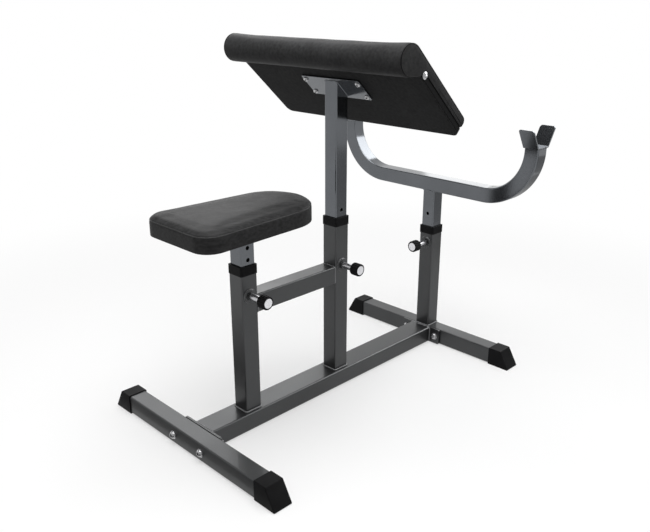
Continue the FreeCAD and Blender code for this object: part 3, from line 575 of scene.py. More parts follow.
def swept(bm, path, up, radii):
    """Round bead along a closed flat path: a circle is extruded from point to point."""
    base = path_frame(path, 0, up)
    ring = bmesh.ops.create_circle(
        bm, cap_ends=False, radius=radii[0], segments=BEAD_SIDES, matrix=base)["verts"]
    first = list(dict.fromkeys(edge for vert in ring for edge in vert.link_edges))
    edges = first
    for index in range(1, len(path)):
        place_now = path_frame(path, index, up)
        grow = Matrix.Scale(radii[index] / radii[index - 1], 4)
        edges = edges_grown(bm, edges, place_now @ grow @ base.inverted())
        base = place_now
    bmesh.ops.bridge_loops(bm, edges=first + edges)


def rounded_loop(centre, along, across, half_width, half_height, corner, step):
    """Points of a rounded rectangle at an even step."""
    points = []
    for turn, (side, rise) in enumerate(((1, 1), (-1, 1), (-1, -1), (1, -1))):
        middle = centre + along * side * (half_width - corner) + across * rise * (half_height - corner)
        arc_steps = max(2, int(corner * math.pi / 2 / step))
        for share in range(arc_steps + 1):
            angle = math.radians(90 * (turn + share / arc_steps))
            points.append(middle + (along * math.cos(angle) + across * math.sin(angle)) * corner)
        run = 2 * (half_height - corner if turn % 2 else half_width - corner)
        way = (along * -1, across * -1, along, across)[turn]
        start = points[-1]
        straight_steps = max(1, int(run / step))
        points.extend(start + way * run * share / straight_steps for share in range(1, straight_steps))
    return points


def circle_loop(centre, along, across, radius, step):
    count = int(2 * math.pi * radius / step)
    angles = [2 * math.pi * index / count for index in range(count)]
    return [centre + (along * math.cos(a) + across * math.sin(a)) * radius for a in angles]


def seam_path(mesh, point, normal, step):
    """Longest loop in which a plane cuts the cover, at an even step."""
    bm = bmesh.new()
    bm.from_mesh(mesh)
    cut = bmesh.ops.bisect_plane(
        bm, geom=everything(bm), dist=0.0, plane_co=point, plane_no=normal)["geom_cut"]
    left = dict.fromkeys(of_kind(cut, BMEdge))
    loops = []
    while left:
        edge = left.popitem()[0]
        first, vert = edge.verts
        loop = [first.co.copy()]
        while vert is not first:
            loop.append(vert.co.copy())
            edge = [link for link in vert.link_edges if link in left][0]
            del left[edge]
            vert = edge.other_vert(vert)
        loops.append(loop)
    bm.free()
    return evenly(max(loops, key=len), step)


def evenly(loop, step):
    """Points at an even step round a closed loop."""
    runs = list(zip(loop, loop[1:] + loop[:1]))
    total = sum((end - start).length for start, end in runs)
    gap = total / round(total / step)
    points = []
    travelled = 0.0
    for start, end in runs:
        run = (end - start).length
        while travelled < run - 0.000001:
            points.append(start.lerp(end, travelled / run))
            travelled += gap
        travelled -= run
    return points


def sunk(path, depth):
    """Draw a seam's path in towards its middle."""
    middle = sum(path, Vector()) / len(path)
    return [point + (middle - point).normalized() * depth for point in path]


def settled_mesh(piece):
    graph = bpy.context.evaluated_depsgraph_get()
    return bpy.data.meshes.new_from_object(piece.evaluated_get(graph))


def even_quads(bm, voxel):
    """One closed skin of even quads round everything in the bmesh."""
    piece = linked("work", to_mesh(bm, "work"))
    remesh = piece.modifiers.new("even", "REMESH")
    remesh.mode = "VOXEL"
    remesh.voxel_size = voxel
    skin = settled_mesh(piece)
    bpy.data.objects.remove(piece)
    bm = bmesh.new()
    bm.from_mesh(skin)
    bpy.data.meshes.remove(skin)
    bmesh.ops.smooth_vert(
        bm, verts=bm.verts[:], factor=0.5, use_axis_x=True, use_axis_y=True, use_axis_z=True)
    return linked("work", to_mesh(bm, "work"))


def swollen(piece, sewing, reach):
    """Blow the cover up over its foam; reach gives the most that each point may move."""
    mesh = piece.data
    limits = [reach(vert.co) for vert in mesh.vertices]
    held = piece.vertex_groups.new(name="held")
    held.add([index for index, limit in enumerate(limits) if limit <= 0.0], 1.0, "REPLACE")
    cover = piece.modifiers.new("cover", "CLOTH")
    settings = cover.settings
    settings.quality = 5
    settings.mass = 0.35
    settings.tension_stiffness = 18.0
    settings.compression_stiffness = 18.0
    settings.shear_stiffness = 8.0
    settings.bending_stiffness = 2.0
    settings.vertex_group_mass = "held"
    settings.use_pressure = True
    settings.uniform_pressure_force = sewing.pressure
    settings.effector_weights.gravity = 0.0
    cover.collision_settings.use_collision = False
    cover.point_cache.frame_start = 1
    cover.point_cache.frame_end = sewing.frames
    scene = bpy.context.scene
    for number in range(1, sewing.frames + 1):
        scene.frame_set(number)
    moved = settled_mesh(piece)
    scene.frame_set(1)
    steps = np.array([vert.co - rest.co for vert, rest in zip(moved.vertices, mesh.vertices)])
    most = np.array(limits)
    steps *= np.minimum(1.0, most / np.maximum(np.linalg.norm(steps, axis=1), 1e-9))[:, None]
    steps = eased(mesh, steps, most <= 0.0, sewing.easing)
    for vert, rest, step in zip(moved.vertices, mesh.vertices, steps):
        vert.co = rest.co + Vector(step)
    piece.modifiers.clear()
    piece.vertex_groups.clear()
    piece.data = moved


def eased(mesh, steps, still, rounds):
    """Even out how far neighbouring points have moved, so that no pucker is left."""
    ends = np.array([edge.vertices[:] for edge in mesh.edges])
    links = np.bincount(ends.ravel(), minlength=len(steps))[:, None]
    for _ in range(rounds):
        total = np.zeros_like(steps)
        np.add.at(total, ends[:, 0], steps[ends[:, 1]])
        np.add.at(total, ends[:, 1], steps[ends[:, 0]])
        steps = (steps + total / links) / 2
        steps[still] = 0.0
    return steps


def finer(piece):
    """Divide every quad once and return the smooth mesh."""
    divide = piece.modifiers.new("finer", "SUBSURF")
    divide.levels = 1
    divide.render_levels = 1
    mesh = settled_mesh(piece)
    bpy.data.objects.remove(piece)
    return mesh


def drawn_in(mesh, sewing, seam_gap):
    """Draw the cover in along its seams and leave the foam slightly uneven."""
    normals = [vert.normal.copy() for vert in mesh.vertices]
    for vert, normal in zip(mesh.vertices, normals):
        gap = seam_gap(vert.co) / sewing.seam_width
        dip = sewing.seam_depth * math.exp(-gap * gap)
        wave = sewing.dimple * noise.noise(vert.co * FOAM_WAVES)
        vert.co += normal * (wave - dip)


# Seat

def spun(bm, vert, centre, axis, angle, steps):
    """Carry a vertex round a centre, leaving an arc of edges; return its end."""
    arc = bmesh.ops.spin(
        bm, geom=[vert], cent=centre, axis=axis, angle=angle, steps=steps, use_duplicate=False)
    return of_kind(arc["geom_last"], BMVert)[0]


def drawn_to(bm, vert, spot):
    """Draw a straight edge from a vertex to a spot; return its end."""
    end = bmesh.ops.extrude_vert_indiv(bm, verts=[vert])["verts"][0]
    end.co = spot
    return end


def seat_face(bm, seat, inset, z):
    """Flat seat outline: rounded rear corners, tapered sides and a round front."""
    rear = SEAT_LOW.x + inset
    corner = seat.rear_corner - inset
    corner_middle = Vector((rear + corner, seat.half_width - inset - corner, z))
    front = seat.front_radius - inset
    front_middle = Vector((SEAT_HIGH.x - seat.front_radius, 0, z))
    run = front_middle - corner_middle
    turn = math.atan2(run.y, run.x) + math.acos((corner - front) / run.length)
    vert = bm.verts.new(front_middle + Vector((front, 0, 0)))
    vert = spun(bm, vert, front_middle, Z_AXIS, turn, 22)
    vert = drawn_to(bm, vert, corner_middle + Vector((math.cos(turn), math.sin(turn), 0)) * corner)
    vert = spun(bm, vert, corner_middle, Z_AXIS, math.pi - turn, 12)
    drawn_to(bm, vert, Vector((rear, 0, z)))
    mirrored(bm, MERGE)
    return bmesh.ops.edgeloop_fill(bm, edges=bm.edges[:])["faces"][0]


def narrowed(bm, face, inset, rise):
    """Step in from a face's edge and lift what is left of it."""
    bmesh.ops.inset_region(bm, faces=[face], thickness=inset, use_even_offset=True)
    bmesh.ops.translate(bm, vec=(0, 0, rise), verts=list(face.verts))


def seat_cover(seat, sewing):
    """Upright band, sloping flank and crowned top with a welted seam, folded under the board."""
    bm = bmesh.new()
    face = seat_face(bm, seat, seat.slack, SEAT_LOW.z - seat.tuck)
    seam_z = SEAT_LOW.z + seat.seam_height
    top = raised(bm, face, Vector((0, 0, seat.tuck + seat.seam_height)))
    for inset, rise in FLANK_STEPS:
        narrowed(bm, top, inset * seat.flank, rise * seat.flank)
    middle = Vector(((SEAT_LOW.x + SEAT_HIGH.x) / 2, 0, 0))
    for share, rise in CROWN_STEPS:
        shrink = Matrix.Translation(middle) @ Matrix.Diagonal((share, share, 1, 1))
        lift = Matrix.Translation((0, 0, rise * seat.crown))
        top = grown(bm, top, lift @ shrink @ Matrix.Translation(-middle))
    piece = even_quads(bm, sewing.voxel)
    hem_hold = 0.004
    seam_hold = 0.003

    def reach(point):
        if point.z < SEAT_LOW.z + hem_hold or abs(point.z - seam_z) < seam_hold:
            return 0.0
        return seat.band_reach if point.z < seam_z else seat.crown_reach

    swollen(piece, sewing, reach)
    mesh = finer(piece)
    drawn_in(mesh, sewing, lambda point: point.z - seam_z)
    welt_path = seam_path(mesh, Z_AXIS * seam_z, Z_AXIS, sewing.welt_step)
    fold = folded_under(mesh, seat)
    for vert in mesh.vertices:
        vert.co = leant(vert.co, seat)
    # The seat wears the darker copy of the leatherette, which is painted shade.
    cover = dressed(mesh, "seat_cover", "leatherette", "seat", 50.0, "seat_shaded_leatherette")
    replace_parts(cover, "seat_cushion")
    seat_welt([leant(point, seat) for point in sunk(welt_path, sewing.welt_sink)], sewing)
    seat_staples(evenly(fold, seat.staple_pitch), seat)


def leant(point, seat):
    """Lift the front of the cover and lower its rear, more the higher a point is."""
    share = (point.x - SEAT_LOW.x) / (SEAT_HIGH.x - SEAT_LOW.x) - 0.5
    height = min(1.0, max(0.0, (point.z - SEAT_LOW.z) / seat.seam_height))
    return point + Vector((0, 0, seat.lean * share * height))


def folded_under(mesh, seat):
    """Cut the cover off level with the board, fold it in as a hem and close it; return the fold."""
    bm = bmesh.new()
    bm.from_mesh(mesh)
    fold_z = SEAT_LOW.z - seat.hem_drop
    bmesh.ops.bisect_plane(
        bm, geom=everything(bm), dist=0.0, plane_co=Z_AXIS * fold_z, plane_no=Z_AXIS,
        clear_inner=True)
    middle = (SEAT_LOW + SEAT_HIGH) / 2
    size = SEAT_HIGH - SEAT_LOW
    shrink = Matrix.Diagonal((1 - 2 * seat.hem_width / size.x, 1 - 2 * seat.hem_width / size.y, 1, 1))
    inwards = Matrix.Translation((middle.x, 0, 0)) @ shrink @ Matrix.Translation((-middle.x, 0, 0))
    edges = [edge for edge in bm.edges if edge.is_boundary]
    for matrix in (inwards, Matrix.Translation((0, 0, 2 * seat.hem_drop))):
        edges = edges_grown(bm, edges, matrix)
    bmesh.ops.holes_fill(bm, edges=edges, sides=0)
    bmesh.ops.recalc_face_normals(bm, faces=bm.faces[:])
    bm.to_mesh(mesh)
    bm.free()
    return seam_path(mesh, Z_AXIS * (fold_z + MERGE), Z_AXIS, 0.005)


def seat_welt(path, sewing):
    """Thin welt sewn into the seam between the band and the top, in a lighter leatherette that is a painted
    highlight.
    """
    bm = bmesh.new()
    swept(bm, path, Z_AXIS, [sewing.welt] * len(path))
    finished(bm, "seat_welt", "leatherette", "seat", 60.0, "welt_highlight_leatherette")


def seat_staples(spots, seat):
    """Staples that hold the hem to the board."""
    bm = bmesh.new()
    wire = Matrix.Diagonal((seat.staple_width, seat.staple_wire, seat.staple_wire, 1.0))
    for index, spot in enumerate(spots):
        way = spots[(index + 1) % len(spots)] - spots[index - 1]
        inward = Vector((-way.y, way.x, 0)).normalized()
        if inward.dot((SEAT_LOW + SEAT_HIGH) / 2 - spot) < 0:
            inward = -inward
        turn = Matrix.Rotation(math.atan2(way.y, way.x), 4, "Z")
        level = Vector((0, 0, -seat.staple_wire / 2))
        middle = Matrix.Translation(spot + inward * seat.hem_width * 0.62 + level)
        bmesh.ops.create_cube(bm, size=1.0, matrix=middle @ turn @ wire)
    rounded(bm, bm.edges[:], seat.staple_wire / 4, 1)
    finished(bm, "seat_staples", "bright_steel", "seat")


# Arm pad

def pad_place(pad):
    return Matrix.Translation((PAD_X, 0, pad.level)) @ Matrix.Rotation(pad.tilt, 4, "Y")


def pad_cover(pad, sewing):
    """Padded slab with a roll along its top, closed by an end panel at each side."""
    bm = bmesh.new()
    radius = pad.roll_radius - pad.slack
    half_width = pad.half_width - pad.panel / 2
    lie_across = Matrix.Rotation(math.radians(90.0), 4, "X")
    roll_place = Matrix.Translation((pad.roll_centre_u, 0, pad.roll_centre_n)) @ lie_across
    bmesh.ops.create_cone(
        bm, cap_ends=True, segments=72, radius1=radius, radius2=radius, depth=2 * half_width,
        matrix=roll_place)
    roll_verts = set(bm.verts)
    low = pad.low_end - pad.cushion_setback
    back = pad.board_thickness + 0.0004
    face = outline_face(bm, (
        (pad.roll_centre_u, -half_width, back), (low, -half_width, back),
        (low, half_width, back), (pad.roll_centre_u, half_width, back)))
    low_pair = [vert for vert in face.verts if vert.co.x > 0]
    rounded(bm, low_pair, pad.cushion_corner, 4, "VERTICES")
    face = [part for part in bm.faces if roll_verts.isdisjoint(part.verts)][0]
    top = raised(bm, face, Vector((0, 0, pad.face - pad.slack - back)))
    low_edges = [edge for edge in top.edges if min(vert.co.x for vert in edge.verts) > 0]
    rounded(bm, low_edges, pad.edge, 3)
    piece = even_quads(bm, sewing.voxel)
    crease = pad.roll_centre_u + pad.roll_radius - 0.002
    board_hold = pad.board_thickness + 0.004

    def reach(point):
        on_board = point.x > crease and point.z < board_hold
        at_end = abs(point.y) > pad.half_width - pad.end_hold
        return 0.0 if on_board or at_end else pad.swell

    swollen(piece, sewing, reach)
    mesh = finer(piece)
    drawn_in(mesh, sewing, lambda point: pad.half_width)
    mesh.transform(pad_place(pad))
    cover = dressed(mesh, "pad_cover", "leatherette", "arm_pad", 60.0)
    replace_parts(cover, "pad_cushion")


def pad_end_panels(pad, sewing):
    """Flat panel sewn into each end, round at the roll and straight down the cushion's side."""
    bm = bmesh.new()
    inset = pad.panel_inset
    y = pad.half_width - pad.panel
    centre = Vector((pad.roll_centre_u, y, pad.roll_centre_n))
    radius = pad.roll_radius - inset
    low = pad.low_end - pad.cushion_setback - pad.cushion_corner * 0.7
    face_n = pad.face - inset
    back_n = pad.board_thickness + inset
    start = bm.verts.new((centre.x, y, face_n))
    roll_turn = math.radians(232.0)
    flap_corner = Vector((pad.flap_end - 0.006, y, 0.002))
    vert = spun(bm, start, centre, -Y_AXIS, roll_turn, 44)
    vert = drawn_to(bm, vert, flap_corner)
    vert = drawn_to(bm, vert, Vector((pad.flap_end, y, back_n)))
    vert = drawn_to(bm, vert, Vector((low - pad.cushion_corner / 2, y, back_n)))
    vert = drawn_to(bm, vert, Vector((low, y, back_n + pad.cushion_corner / 2)))
    vert = drawn_to(bm, vert, Vector((low, y, face_n - pad.edge)))
    low_middle = Vector((low - pad.edge, y, face_n - pad.edge))
    vert = spun(bm, vert, low_middle, -Y_AXIS, math.radians(90.0), 6)
    bm.edges.new((vert, start))
    face = bmesh.ops.edgeloop_fill(bm, edges=bm.edges[:])["faces"][0]
    rim = evenly([corner.co.copy() for corner in face.verts], sewing.welt_step)
    outer = raised(bm, face, Vector((0, pad.panel, 0)))
    bmesh.ops.recalc_face_normals(bm, faces=bm.faces[:])
    rounded(bm, list(outer.edges), pad.panel_edge, 3)
    outer = max(bm.faces, key=lambda part: part.calc_center_median().y)
    bmesh.ops.inset_region(
        bm, faces=[outer], thickness=0.006, depth=pad.panel_crown, use_even_offset=True)
    mirrored(bm)
    bmesh.ops.transform(bm, matrix=pad_place(pad), verts=bm.verts[:])
    # The end panels wear the lighter copy of the leatherette, which is painted light.
    finished(bm, "pad_end_panels", "leatherette", "arm_pad", 40.0, "end_lit_leatherette")
    pad_shade_piping(rim, pad)


def pad_shade_piping(rim, pad):
    """Dark cord sewn in round each end panel; its black is painted shade for the groove round the panel."""
    bm = bmesh.new()
    lift = Y_AXIS * (pad.panel - pad.piping * 0.6)
    path = [point + lift for point in rim]
    swept(bm, path, Y_AXIS, [pad.piping] * len(path))
    mirrored(bm)
    bmesh.ops.transform(bm, matrix=pad_place(pad), verts=bm.verts[:])
    finished(bm, "pad_shade_piping", "leatherette", "arm_pad", 60.0, "black_plastic")


def pad_outline(bm, pad, inset, level):
    """Flat outline of the board, with its two low corners rounded."""
    top = pad.roll_centre_u + pad.roll_radius + 0.0003
    low = pad.low_end - inset
    half_width = pad.half_width - inset
    face = outline_face(bm, (
        (top, -half_width, level), (low, -half_width, level),
        (low, half_width, level), (top, half_width, level)))
    low_pair = [vert for vert in face.verts if vert.co.x > 0]
    rounded(bm, low_pair, pad.low_corner - inset, 8, "VERTICES")
    bm.faces.ensure_lookup_table()


def pad_layer(pad, name, finish, inset, level, thickness, edge):
    """One layer of the board, between two heights above its back."""
    bm = bmesh.new()
    pad_outline(bm, pad, inset, level)
    raised(bm, bm.faces[0], Vector((0, 0, thickness)))
    rims = [rim for rim in bm.edges if abs(rim.verts[0].co.z - rim.verts[1].co.z) < MERGE]
    rounded(bm, rims, edge, 3)
    bmesh.ops.transform(bm, matrix=pad_place(pad), verts=bm.verts[:])
    piece = finished(bm, name, "leatherette", "arm_pad", 40.0, finish)
    even_normals(piece)
    return piece


def pad_board(pad):
    """Board with a leatherette backing and a black band round its edge; the backing wears a darker copy of
    the leatherette, which is painted shade.
    """
    backing = pad_layer(
        pad, "pad_back", "back_shaded_leatherette", pad.board_setback, 0.0, pad.backing, pad.backing_edge)
    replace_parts(backing, "pad_board")
    depth = pad.board_thickness - pad.backing
    pad_layer(pad, "pad_edge_band", "edge_band", pad.banding_setback, pad.backing, depth, 0.0008)


# Bar rack

def rack_tube():
    """Bent square tube of the bar rack, smooth round both bends, with a weld lip under each catch."""
    low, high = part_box("rack_bar")
    size = high.x - low.x
    middle_x = (low.x + high.x) / 2
    axis_z = low.z + size / 2
    arm_y = high.y - size / 2
    arm_straight = 0.010
    bend_z = high.z - arm_straight
    straight_end = arm_y - (bend_z - axis_z)
    half = size / 2
    bm = bmesh.new()
    face = outline_face(bm, (
        (low.x, 0, axis_z - half), (high.x, 0, axis_z - half),
        (high.x, 0, axis_z + half), (low.x, 0, axis_z + half)))
    rounded(bm, list(face.verts), 0.004, 5, "VERTICES")
    bm.faces.ensure_lookup_table()
    start = bm.faces[0]
    far = raised(bm, start, Vector((0, straight_end, 0)))
    turned = bmesh.ops.spin(
        bm, geom=[far, *far.edges, *far.verts], cent=(middle_x, straight_end, bend_z), axis=X_AXIS,
        angle=math.radians(90.0), steps=40, use_duplicate=False)
    raised(bm, of_kind(turned["geom_last"], BMFace)[0], Vector((0, 0, arm_straight)))
    middle = [part for part in bm.faces if all(abs(vert.co.y) < SPECK for vert in part.verts)]
    bmesh.ops.delete(bm, geom=middle, context="FACES")
    mirrored(bm, MERGE)
    lip = 0.0020
    lean = Matrix.Rotation(math.radians(45.0), 4, "X") @ Matrix.Diagonal((size - lip, lip, lip, 1.0))
    for side in (-1, 1):
        edge = Matrix.Translation((middle_x, side * (high.y - 0.0006), high.z - 0.0004))
        bmesh.ops.create_cube(bm, size=1.0, matrix=edge @ lean)
    piece = finished(bm, "rack_tube", "grey_paint", "bar_rack")
    even_normals(piece)
    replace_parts(piece, "rack_bar")


# Bolts

def socket_bolt(bm, place_at, bolts, kind):
    """Button-head bolt along +Z of its place, its head below the plane, with a key socket."""
    head, rise, shank, reach = (
        getattr(bolts, kind + size) for size in ("_head", "_rise", "_shank", "_length"))
    bmesh.ops.create_circle(bm, cap_ends=True, radius=shank / 2, segments=24)
    bm.faces.ensure_lookup_table()
    face = bm.faces[-1]
    bmesh.ops.translate(bm, vec=(0, 0, reach), verts=list(face.verts))
    start = set(bm.verts) - set(face.verts)
    face = grown(bm, face, Matrix.Translation((0, 0, -reach)))
    radius = shank / 2
    level = 0.0
    for turn in DOME_TURNS:
        angle = math.radians(turn)
        new_radius = head / 2 * math.cos(angle)
        new_level = -rise * math.sin(angle) / math.sin(math.radians(DOME_TURNS[-1]))
        scale = new_radius / radius
        lift = Matrix.Translation((0, 0, new_level))
        shrink = Matrix.Diagonal((scale, scale, 1.0, 1.0))
        face = grown(bm, face, lift @ shrink @ Matrix.Translation((0, 0, -level)))
        radius = new_radius
        level = new_level
    face = grown(bm, face, Matrix.Identity(4))
    flat = head * bolts.socket / 2
    for vert in face.verts:
        angle = math.atan2(vert.co.y, vert.co.x)
        sector = (angle + math.pi / 6) % (math.pi / 3) - math.pi / 6
        across = flat / math.cos(sector) / radius
        vert.co.x *= across
        vert.co.y *= across
    grown(bm, face, Matrix.Translation((0, 0, rise * bolts.socket_depth)))
    made = [vert for vert in bm.verts if vert not in start]
    bmesh.ops.transform(bm, matrix=place_at, verts=made)


def along_x(x, y, z):
    return Matrix.Translation((x, y, z)) @ Matrix.Rotation(math.radians(90.0), 4, "Y")


def crossbar_bolts(bolts):
    bm = bmesh.new()
    low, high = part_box("crossbar_bolts")
    z = (low.z + high.z) / 2
    y = high.y - bolts.frame_head / 2
    for face_x in (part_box("rear_crossbar")[0].x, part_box("front_end_plate")[0].x):
        for side in (-1, 1):
            spot = along_x(face_x - bolts.frame_washer, side * y, z)
            socket_bolt(bm, spot, bolts, "frame")
    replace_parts(finished(bm, "crossbar_socket_bolts", "chrome", "frame"), "crossbar_bolts")


def seat_bolts(bolts):
    bm = bmesh.new()
    low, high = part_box("seat_bolts")
    inset = bolts.pad_head / 2
    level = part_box("seat_mount_plate")[0].z - bolts.pad_washer
    for x in (low.x + inset, high.x - inset):
        for y in (low.y + inset, high.y - inset):
            spot = Matrix.Translation((x, y, level))
            socket_bolt(bm, spot, bolts, "pad")
    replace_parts(finished(bm, "seat_socket_bolts", "chrome", "seat"), "seat_bolts")


def pad_bolts(bolts, pad):
    bm = bmesh.new()
    row_rise = 0.025
    column = 0.093
    for u in (pad.plate_u - row_rise, pad.plate_u + row_rise):
        for y in (-column, column):
            spot = pad_place(pad) @ Matrix.Translation((u, y, -pad.plate))
            socket_bolt(bm, spot, bolts, "pad")
    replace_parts(finished(bm, "pad_socket_bolts", "chrome", "arm_pad"), "pad_bolts")


# Welds

def bead(bm, path, up, size, welds):
    """Weld bead round a closed path, its radius a share of the full bead's; small ones are smooth."""
    step = (path[1] - path[0]).length
    radii = []
    for index in range(len(path)):
        phase = 2 * math.pi * index * step / welds.ripple
        ripple = welds.depth * math.sin(phase) if size > 0.6 else 0.0
        radii.append(size * welds.radius * (1 + ripple))
    swept(bm, path, up, radii)


def weld_groups(welds, pad):
    """Beads of each body: name, body, slot, finish and a list of (path, plane normal, size)."""
    step = welds.ripple / 6
    sink = 0.0003
    setback = 0.0012
    corner = 0.004
    foot_corner = 0.0045
    wide_corner = 0.005
    frame_beads = []
    for post in ("seat", "pad", "rack"):
        low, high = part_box(post + "_post_tube")
        centre = (low + high) / 2
        half = (high.x - low.x) / 2 + welds.stand_off
        foot = Vector((centre.x, centre.y, low.z + sink))
        frame_beads.append((rounded_loop(foot, X_AXIS, Y_AXIS, half, half, foot_corner, step), Z_AXIS, 1.0))
        boss_low, boss_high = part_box(post + "_pin_boss")
        boss = (boss_low + boss_high) / 2
        ring = (boss_high.z - boss_low.z) / 2
        if post == "rack":
            base = Vector((boss_high.x - sink, 0, boss.z))
            frame_beads.append((circle_loop(base, Y_AXIS, Z_AXIS, ring, step), X_AXIS, 0.5))
        else:
            base = Vector((boss.x, boss_high.y - sink, boss.z))
            frame_beads.append((circle_loop(base, Z_AXIS, X_AXIS, ring, step), Y_AXIS, 0.5))
    low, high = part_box("brace")
    middle = (low + high) / 2
    half = (high.z - low.z) / 2 - setback
    beam_low, beam_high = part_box("main_beam")
    beam_middle = (beam_low + beam_high) / 2
    half_beam = (beam_high.y - beam_low.y) / 2
    half_rise = (beam_high.z - beam_low.z) / 2 - setback
    for x in (low.x + welds.stand_off, high.x - welds.stand_off):
        centre = Vector((x, 0, middle.z))
        frame_beads.append((rounded_loop(centre, Y_AXIS, Z_AXIS, half, half, corner, step), X_AXIS, 1.0))
    for x in (beam_low.x, beam_high.x):
        centre = Vector((x, 0, beam_middle.z))
        loop = rounded_loop(centre, Y_AXIS, Z_AXIS, half_beam, half_rise, wide_corner, step)
        frame_beads.append((loop, X_AXIS, 1.0))
    seat_low, seat_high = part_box("seat_post")
    half = (seat_high.x - seat_low.x) / 2
    top = Vector(((seat_low.x + seat_high.x) / 2, 0, seat_high.z))
    seat_beads = [(rounded_loop(top, X_AXIS, Y_AXIS, half, half, corner, step), Z_AXIS, 1.0)]
    rack_low, rack_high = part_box("rack_post")
    top = Vector(((rack_low.x + rack_high.x) / 2, 0, rack_high.z))
    rack_beads = [(rounded_loop(top, X_AXIS, Y_AXIS, half, half, corner, step), Z_AXIS, 0.7)]
    turn = pad_place(pad)
    slope = turn.to_3x3() @ X_AXIS
    out = turn.to_3x3() @ Z_AXIS
    spot = turn @ Vector((pad.plate * math.tan(pad.tilt), 0, -pad.plate))
    slant = half / math.cos(pad.tilt)
    pad_beads = [(rounded_loop(spot, slope, Y_AXIS, slant, half, wide_corner, step), out, 0.8)]
    return (
        ("frame_welds", "frame", "charcoal_paint", "weld_highlight_paint", frame_beads),
        ("seat_weld", "seat", "grey_paint", "grey_paint", seat_beads),
        ("rack_welds", "bar_rack", "grey_paint", "grey_paint", rack_beads),
        ("pad_weld", "arm_pad", "grey_paint", "grey_paint", pad_beads),
    )


# Stage

def add_softbox(name, place_at, look_at, width, height, brightness):
    """Rectangular softbox of a given brightness."""
    lamp = bpy.data.lights.new(name, "AREA")
    lamp.shape = "RECTANGLE"
    lamp.size = width
    lamp.size_y = height
    lamp.energy = math.pi * width * height * brightness
    box = linked(name, lamp)
    box.location = place_at
    box.rotation_mode = "QUATERNION"
    box.rotation_quaternion = (Vector(look_at) - Vector(place_at)).to_track_quat("-Z", "Y")
    box.visible_camera = False
    return box


def add_card(name, look_at, bearing, rise, distance, width, height, brightness):
    """Softbox that only shows in reflections, at a bearing and a rise in degrees."""
    around = math.radians(bearing)
    up = math.radians(rise)
    way = Vector((math.cos(up) * math.cos(around), math.cos(up) * math.sin(around), math.sin(up)))
    card = add_softbox(name, Vector(look_at) + way * distance, look_at, width, height, brightness)
    card.visible_diffuse = False


def staged(bm, name, material):
    """Turn a bmesh into a piece of the stage."""
    mesh = to_mesh(bm, name)
    mesh.materials.append(material)
    piece = linked(name, mesh)
    return piece


def add_flag(name, place_at, look_at, width, height, tone):
    """Grey or black sheet that only shows in reflections."""
    bm = bmesh.new()
    turn = (Vector(look_at) - Vector(place_at)).to_track_quat("Z", "Y").to_matrix().to_4x4()
    size = Matrix.Diagonal((width, height, 1.0, 1.0))
    bmesh.ops.create_grid(
        bm, x_segments=1, y_segments=1, size=0.5, matrix=Matrix.Translation(place_at) @ turn @ size)
    felt = Finish(name)
    felt.show("Material Output", felt.glow("ShaderNodeEmission", tone))
    for unused in (felt.shader, felt.where.node):
        felt.tree.nodes.remove(unused)
    flag = staged(bm, name, felt.material)
    flag.visible_camera = False
    flag.visible_diffuse = False
    flag.visible_shadow = False


def studio_world(stage):
    """White to the eye, and a dimmer white as a light."""
    world = bpy.data.worlds.new("studio")
    bpy.context.scene.world = world
    world.use_nodes = True
    nodes = Nodes(world.node_tree)
    light = nodes.tree.nodes["Background"]
    nodes.put(light.inputs["Color"], WHITE)
    nodes.put(light.inputs["Strength"], stage.ambient)
    shown = nodes.glow("ShaderNodeBackground", 1.0)
    nodes.show("World Output", nodes.mixed(nodes.white_for_eye(), light.outputs[0], shown))


def studio_floor(stage):
    """Pale paper that keeps the bench's shadow and whitens with the distance."""
    bm = bmesh.new()
    bmesh.ops.create_grid(bm, x_segments=1, y_segments=1, size=FLOOR_SIZE)
    paper = Finish("floor_paper")
    seen = paper.white_for_eye()
    tone = paper.two_tone(seen, (*stage.floor_bounce, 1.0), stage.floor_colour)
    paper.shade(Base_Color=tone, Roughness=0.9, Specular_IOR_Level=0.1)
    away = paper.add(
        "ShaderNodeVectorMath", {"operation": "LENGTH"}, {0: paper.where}).outputs["Value"]
    fade = paper.add("ShaderNodeMapRange", {"interpolation_type": "SMOOTHSTEP"}, {
        "Value": away, "From Min": stage.floor_near, "From Max": stage.floor_far,
        "To Min": stage.floor_glow}).outputs["Result"]
    share = paper.add("ShaderNodeMath", {"operation": "MULTIPLY"}, {0: seen, 1: fade}).outputs[0]
    glow = paper.glow("ShaderNodeEmission", 1.0)
    paper.show("Material Output", paper.mixed(share, paper.shader.outputs[0], glow))
    staged(bm, "floor", paper.material)


def studio_camera(stage):
    data = bpy.data.cameras.new("camera")
    data.sensor_fit = "HORIZONTAL"
    data.sensor_width = 36.0
    data.lens = stage.lens
    data.shift_x = stage.shift_x
    data.shift_y = stage.shift_y
    data.clip_start = 0.05
    data.clip_end = 100.0
    camera = linked("camera", data)
    camera.location = stage.camera_place
    camera.rotation_mode = "QUATERNION"
    camera.rotation_quaternion = Vector(stage.camera_way).to_track_quat("-Z", "Y")
    bpy.context.scene.camera = camera


# Operators

class BENCH_OT_finishes(bpy.types.Operator):
    """Mix the finishes and put them on every solid of the bench"""
    bl_idname = "bench.finishes"
    bl_label = "Finishes"

    def execute(self, context):
        make_finishes(context.scene.bench_finishes)
        slots = {part["node"]: part["material_slot"] for part in frame["record"]["subparts"]}
        for name, node in frame["nodes"].items():
            finish = FINISHES.get(name) or FINISHES[slots[name]]
            for slot in node.material_slots:
                slot.material = finish
        return {"FINISHED"}


class BENCH_OT_seat(bpy.types.Operator):
    """Sew the seat's cover, with its welt and its stapled hem"""
    bl_idname = "bench.seat"
    bl_label = "Seat"

    def execute(self, context):
        seat_cover(context.scene.bench_seat, context.scene.bench_sewing)
        return {"FINISHED"}


